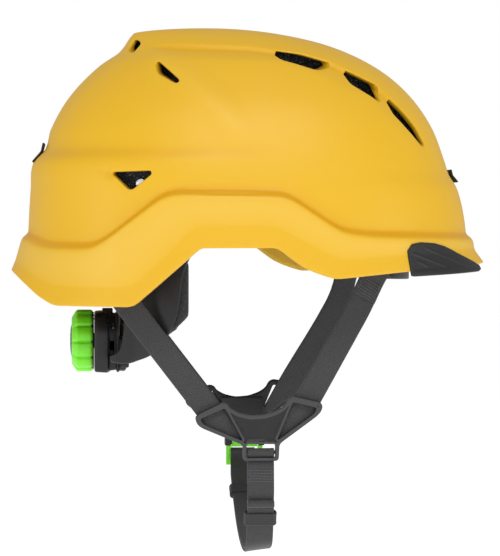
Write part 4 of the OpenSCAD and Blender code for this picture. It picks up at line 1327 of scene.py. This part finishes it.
near_top, near_end, far_start, far_end = (-76.6, -155), (-65.5, -183), (24, -176), (61, -155.5)
chin_main = [near_top] + bezier(near_end, (-59, -196), (-14, -196), far_start) + [far_end]
heading = unit(np.gradient(np.array(chin_main), axis=0))
chin_tail = np.array(chin_main) + layer * np.stack([heading[:, 1], -heading[:, 0]], 1)
tail_end = chin_tail[0] + (chin_tail[1] - chin_tail[0]) * 0.19
roll_at = tail_end + np.array([-1.3, -0.3])
hem = arc(roll_at, 1.75, -50, 250)
top_fold = [(-73.3, -149.5), (-73.0, -136.2), (-73.6, -134.6), (-74.6, -134.7), (-75.3, -137), (-75.6, -143),
    (-76.1, -150)]
round_bar = [(67, -151)] + arc((74.1, -144.8), 2.85, 195, -62) + [(69.8, -151.3)]
back_again = [tuple(p) for p in chin_tail[:0:-1]] + [tuple(chin_tail[0] + (chin_tail[1] - chin_tail[0]) * 0.5)]
chin_path = top_fold + chin_main + round_bar + back_again + hem
flat_path = smooth_path(chin_path, 0.9, 2)
aside = np.interp(flat_path[:, 0], [-60, 40, 60, 76], [0, -2, -2, -1])
twist = 0.13 * np.exp(-((flat_path[:, 1] + 194) / 13) ** 2)
path = np.stack([chin_x + aside, flat_path[:, 0], flat_path[:, 1]], 1)
across = unit(np.stack([np.ones(len(path)), 0 * twist, twist], 1))
chin = webbing("chin_webbing", path, across, chin_w, chin_t, strap_webbing)
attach(chin, "chin")
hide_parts("chin_strap")
# Its upper end passes behind the slot's lower edge and over a bar set back in the slot
bar_at = (-75.2, -129.6)
rod = [(x, bar_at[0] + r * math.cos(k), bar_at[1] + r * math.sin(k))
    for x, r in ((-7.6, 1.0), (-7.4, 1.15), (12.6, 1.15), (12.8, 1.0))
    for k in np.linspace(0, 2 * math.pi, 24, endpoint=False)]
quads = tube_faces(4, 24) + [list(range(23, -1, -1)), list(range(72, 96))]
bar = new_piece("chin_bar", rod, quads, black_nylon)
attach(bar, "side_right")
loop_path = ([(-72.4, -136), (-72.6, -132)] + arc(bar_at, 2.05, -20, 200)
    + [(-76.6, -131.5), (-74.6, -133.2), (-74.1, -136)])
loop_path = [(chin_x, y, z) for y, z in smooth_path(loop_path, 0.6, 2)]
loop = webbing("chin_loop", loop_path, (1, 0, 0), chin_w, 1.1, strap_webbing)
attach(loop, "side_right")
tack = []
for z in (-140.6, -142.3, -144, -145.7, -147.4):
    y = np.interp(z, [-150, -143], [-76.8, -76.3])
    tack.append([(chin_x - 6.8, y, z), (chin_x + 6.8, y, z - 0.3)])
stitches = tacked("chin_bar_tack", tack, (1.3, 0.6, 0.55))
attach(stitches, "chin")

# ==== Keepers ====
# Two loops of fine-ribbed black elastic that hold the chin strap's layers together.
# Each is cut, overlapped and sewn, and slides along the strap.
elastic, tree, shader = surface_material("ribbed_elastic", 0.7, Sheen_Weight=0.15)
ribs_across = add(tree, "ShaderNodeSeparateXYZ", {0: add(tree, "ShaderNodeUVMap", uv_map="weave").outputs["UV"]})
wave = maths(tree, "SINE", maths(tree, "MULTIPLY", ribs_across.outputs["X"], 5.2))
level = add(tree, "ShaderNodeMapRange", {"Value": wave, "From Min": -1.0, "From Max": 1.0}).outputs[0]
mixed = maths(tree, "MULTIPLY", noise(tree, 1600.0), level)
finish_surface(tree, shader, blend(tree, mixed, "#202022", "#353537"), level, 0.5, 0.0003)
for name, start, end, at, half_n in (("right", near_top, near_end, 16.2, 2.4),
        ("left", far_start, far_end, 20, 2.8)):
    run = unit(np.array(end, float) - start)
    out = np.array([run[1], -run[0]])
    middle = np.array(start) + at * run + out * 0.875
    half_x, r, sleeve_w, sleeve_t = 9.4, 1.9, 8.6, 1.25
    ring = []
    for sx, sn, first in ((1, 1, 0), (-1, 1, 90), (-1, -1, 180), (1, -1, 270)):
        ring += arc((sx * (half_x - r), sn * (half_n - r)), r, first, first + 90, 5)
    ring = np.array(ring + ring[:1])
    ring = resampled(ring, np.linspace(0, running_length(ring)[-1], 61)[:-1])
    middle_x = chin_x - (2 if name == "left" else 0)
    path = [(middle_x + x, middle[0] + n * out[0], middle[1] + n * out[1]) for x, n in ring]
    sleeve = webbing(f"elastic_loop_{name}", path, (0, run[0], run[1]), sleeve_w, sleeve_t, elastic, closed=True)
    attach(sleeve, f"keeper_{name}")
    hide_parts(f"keeper_{name}")
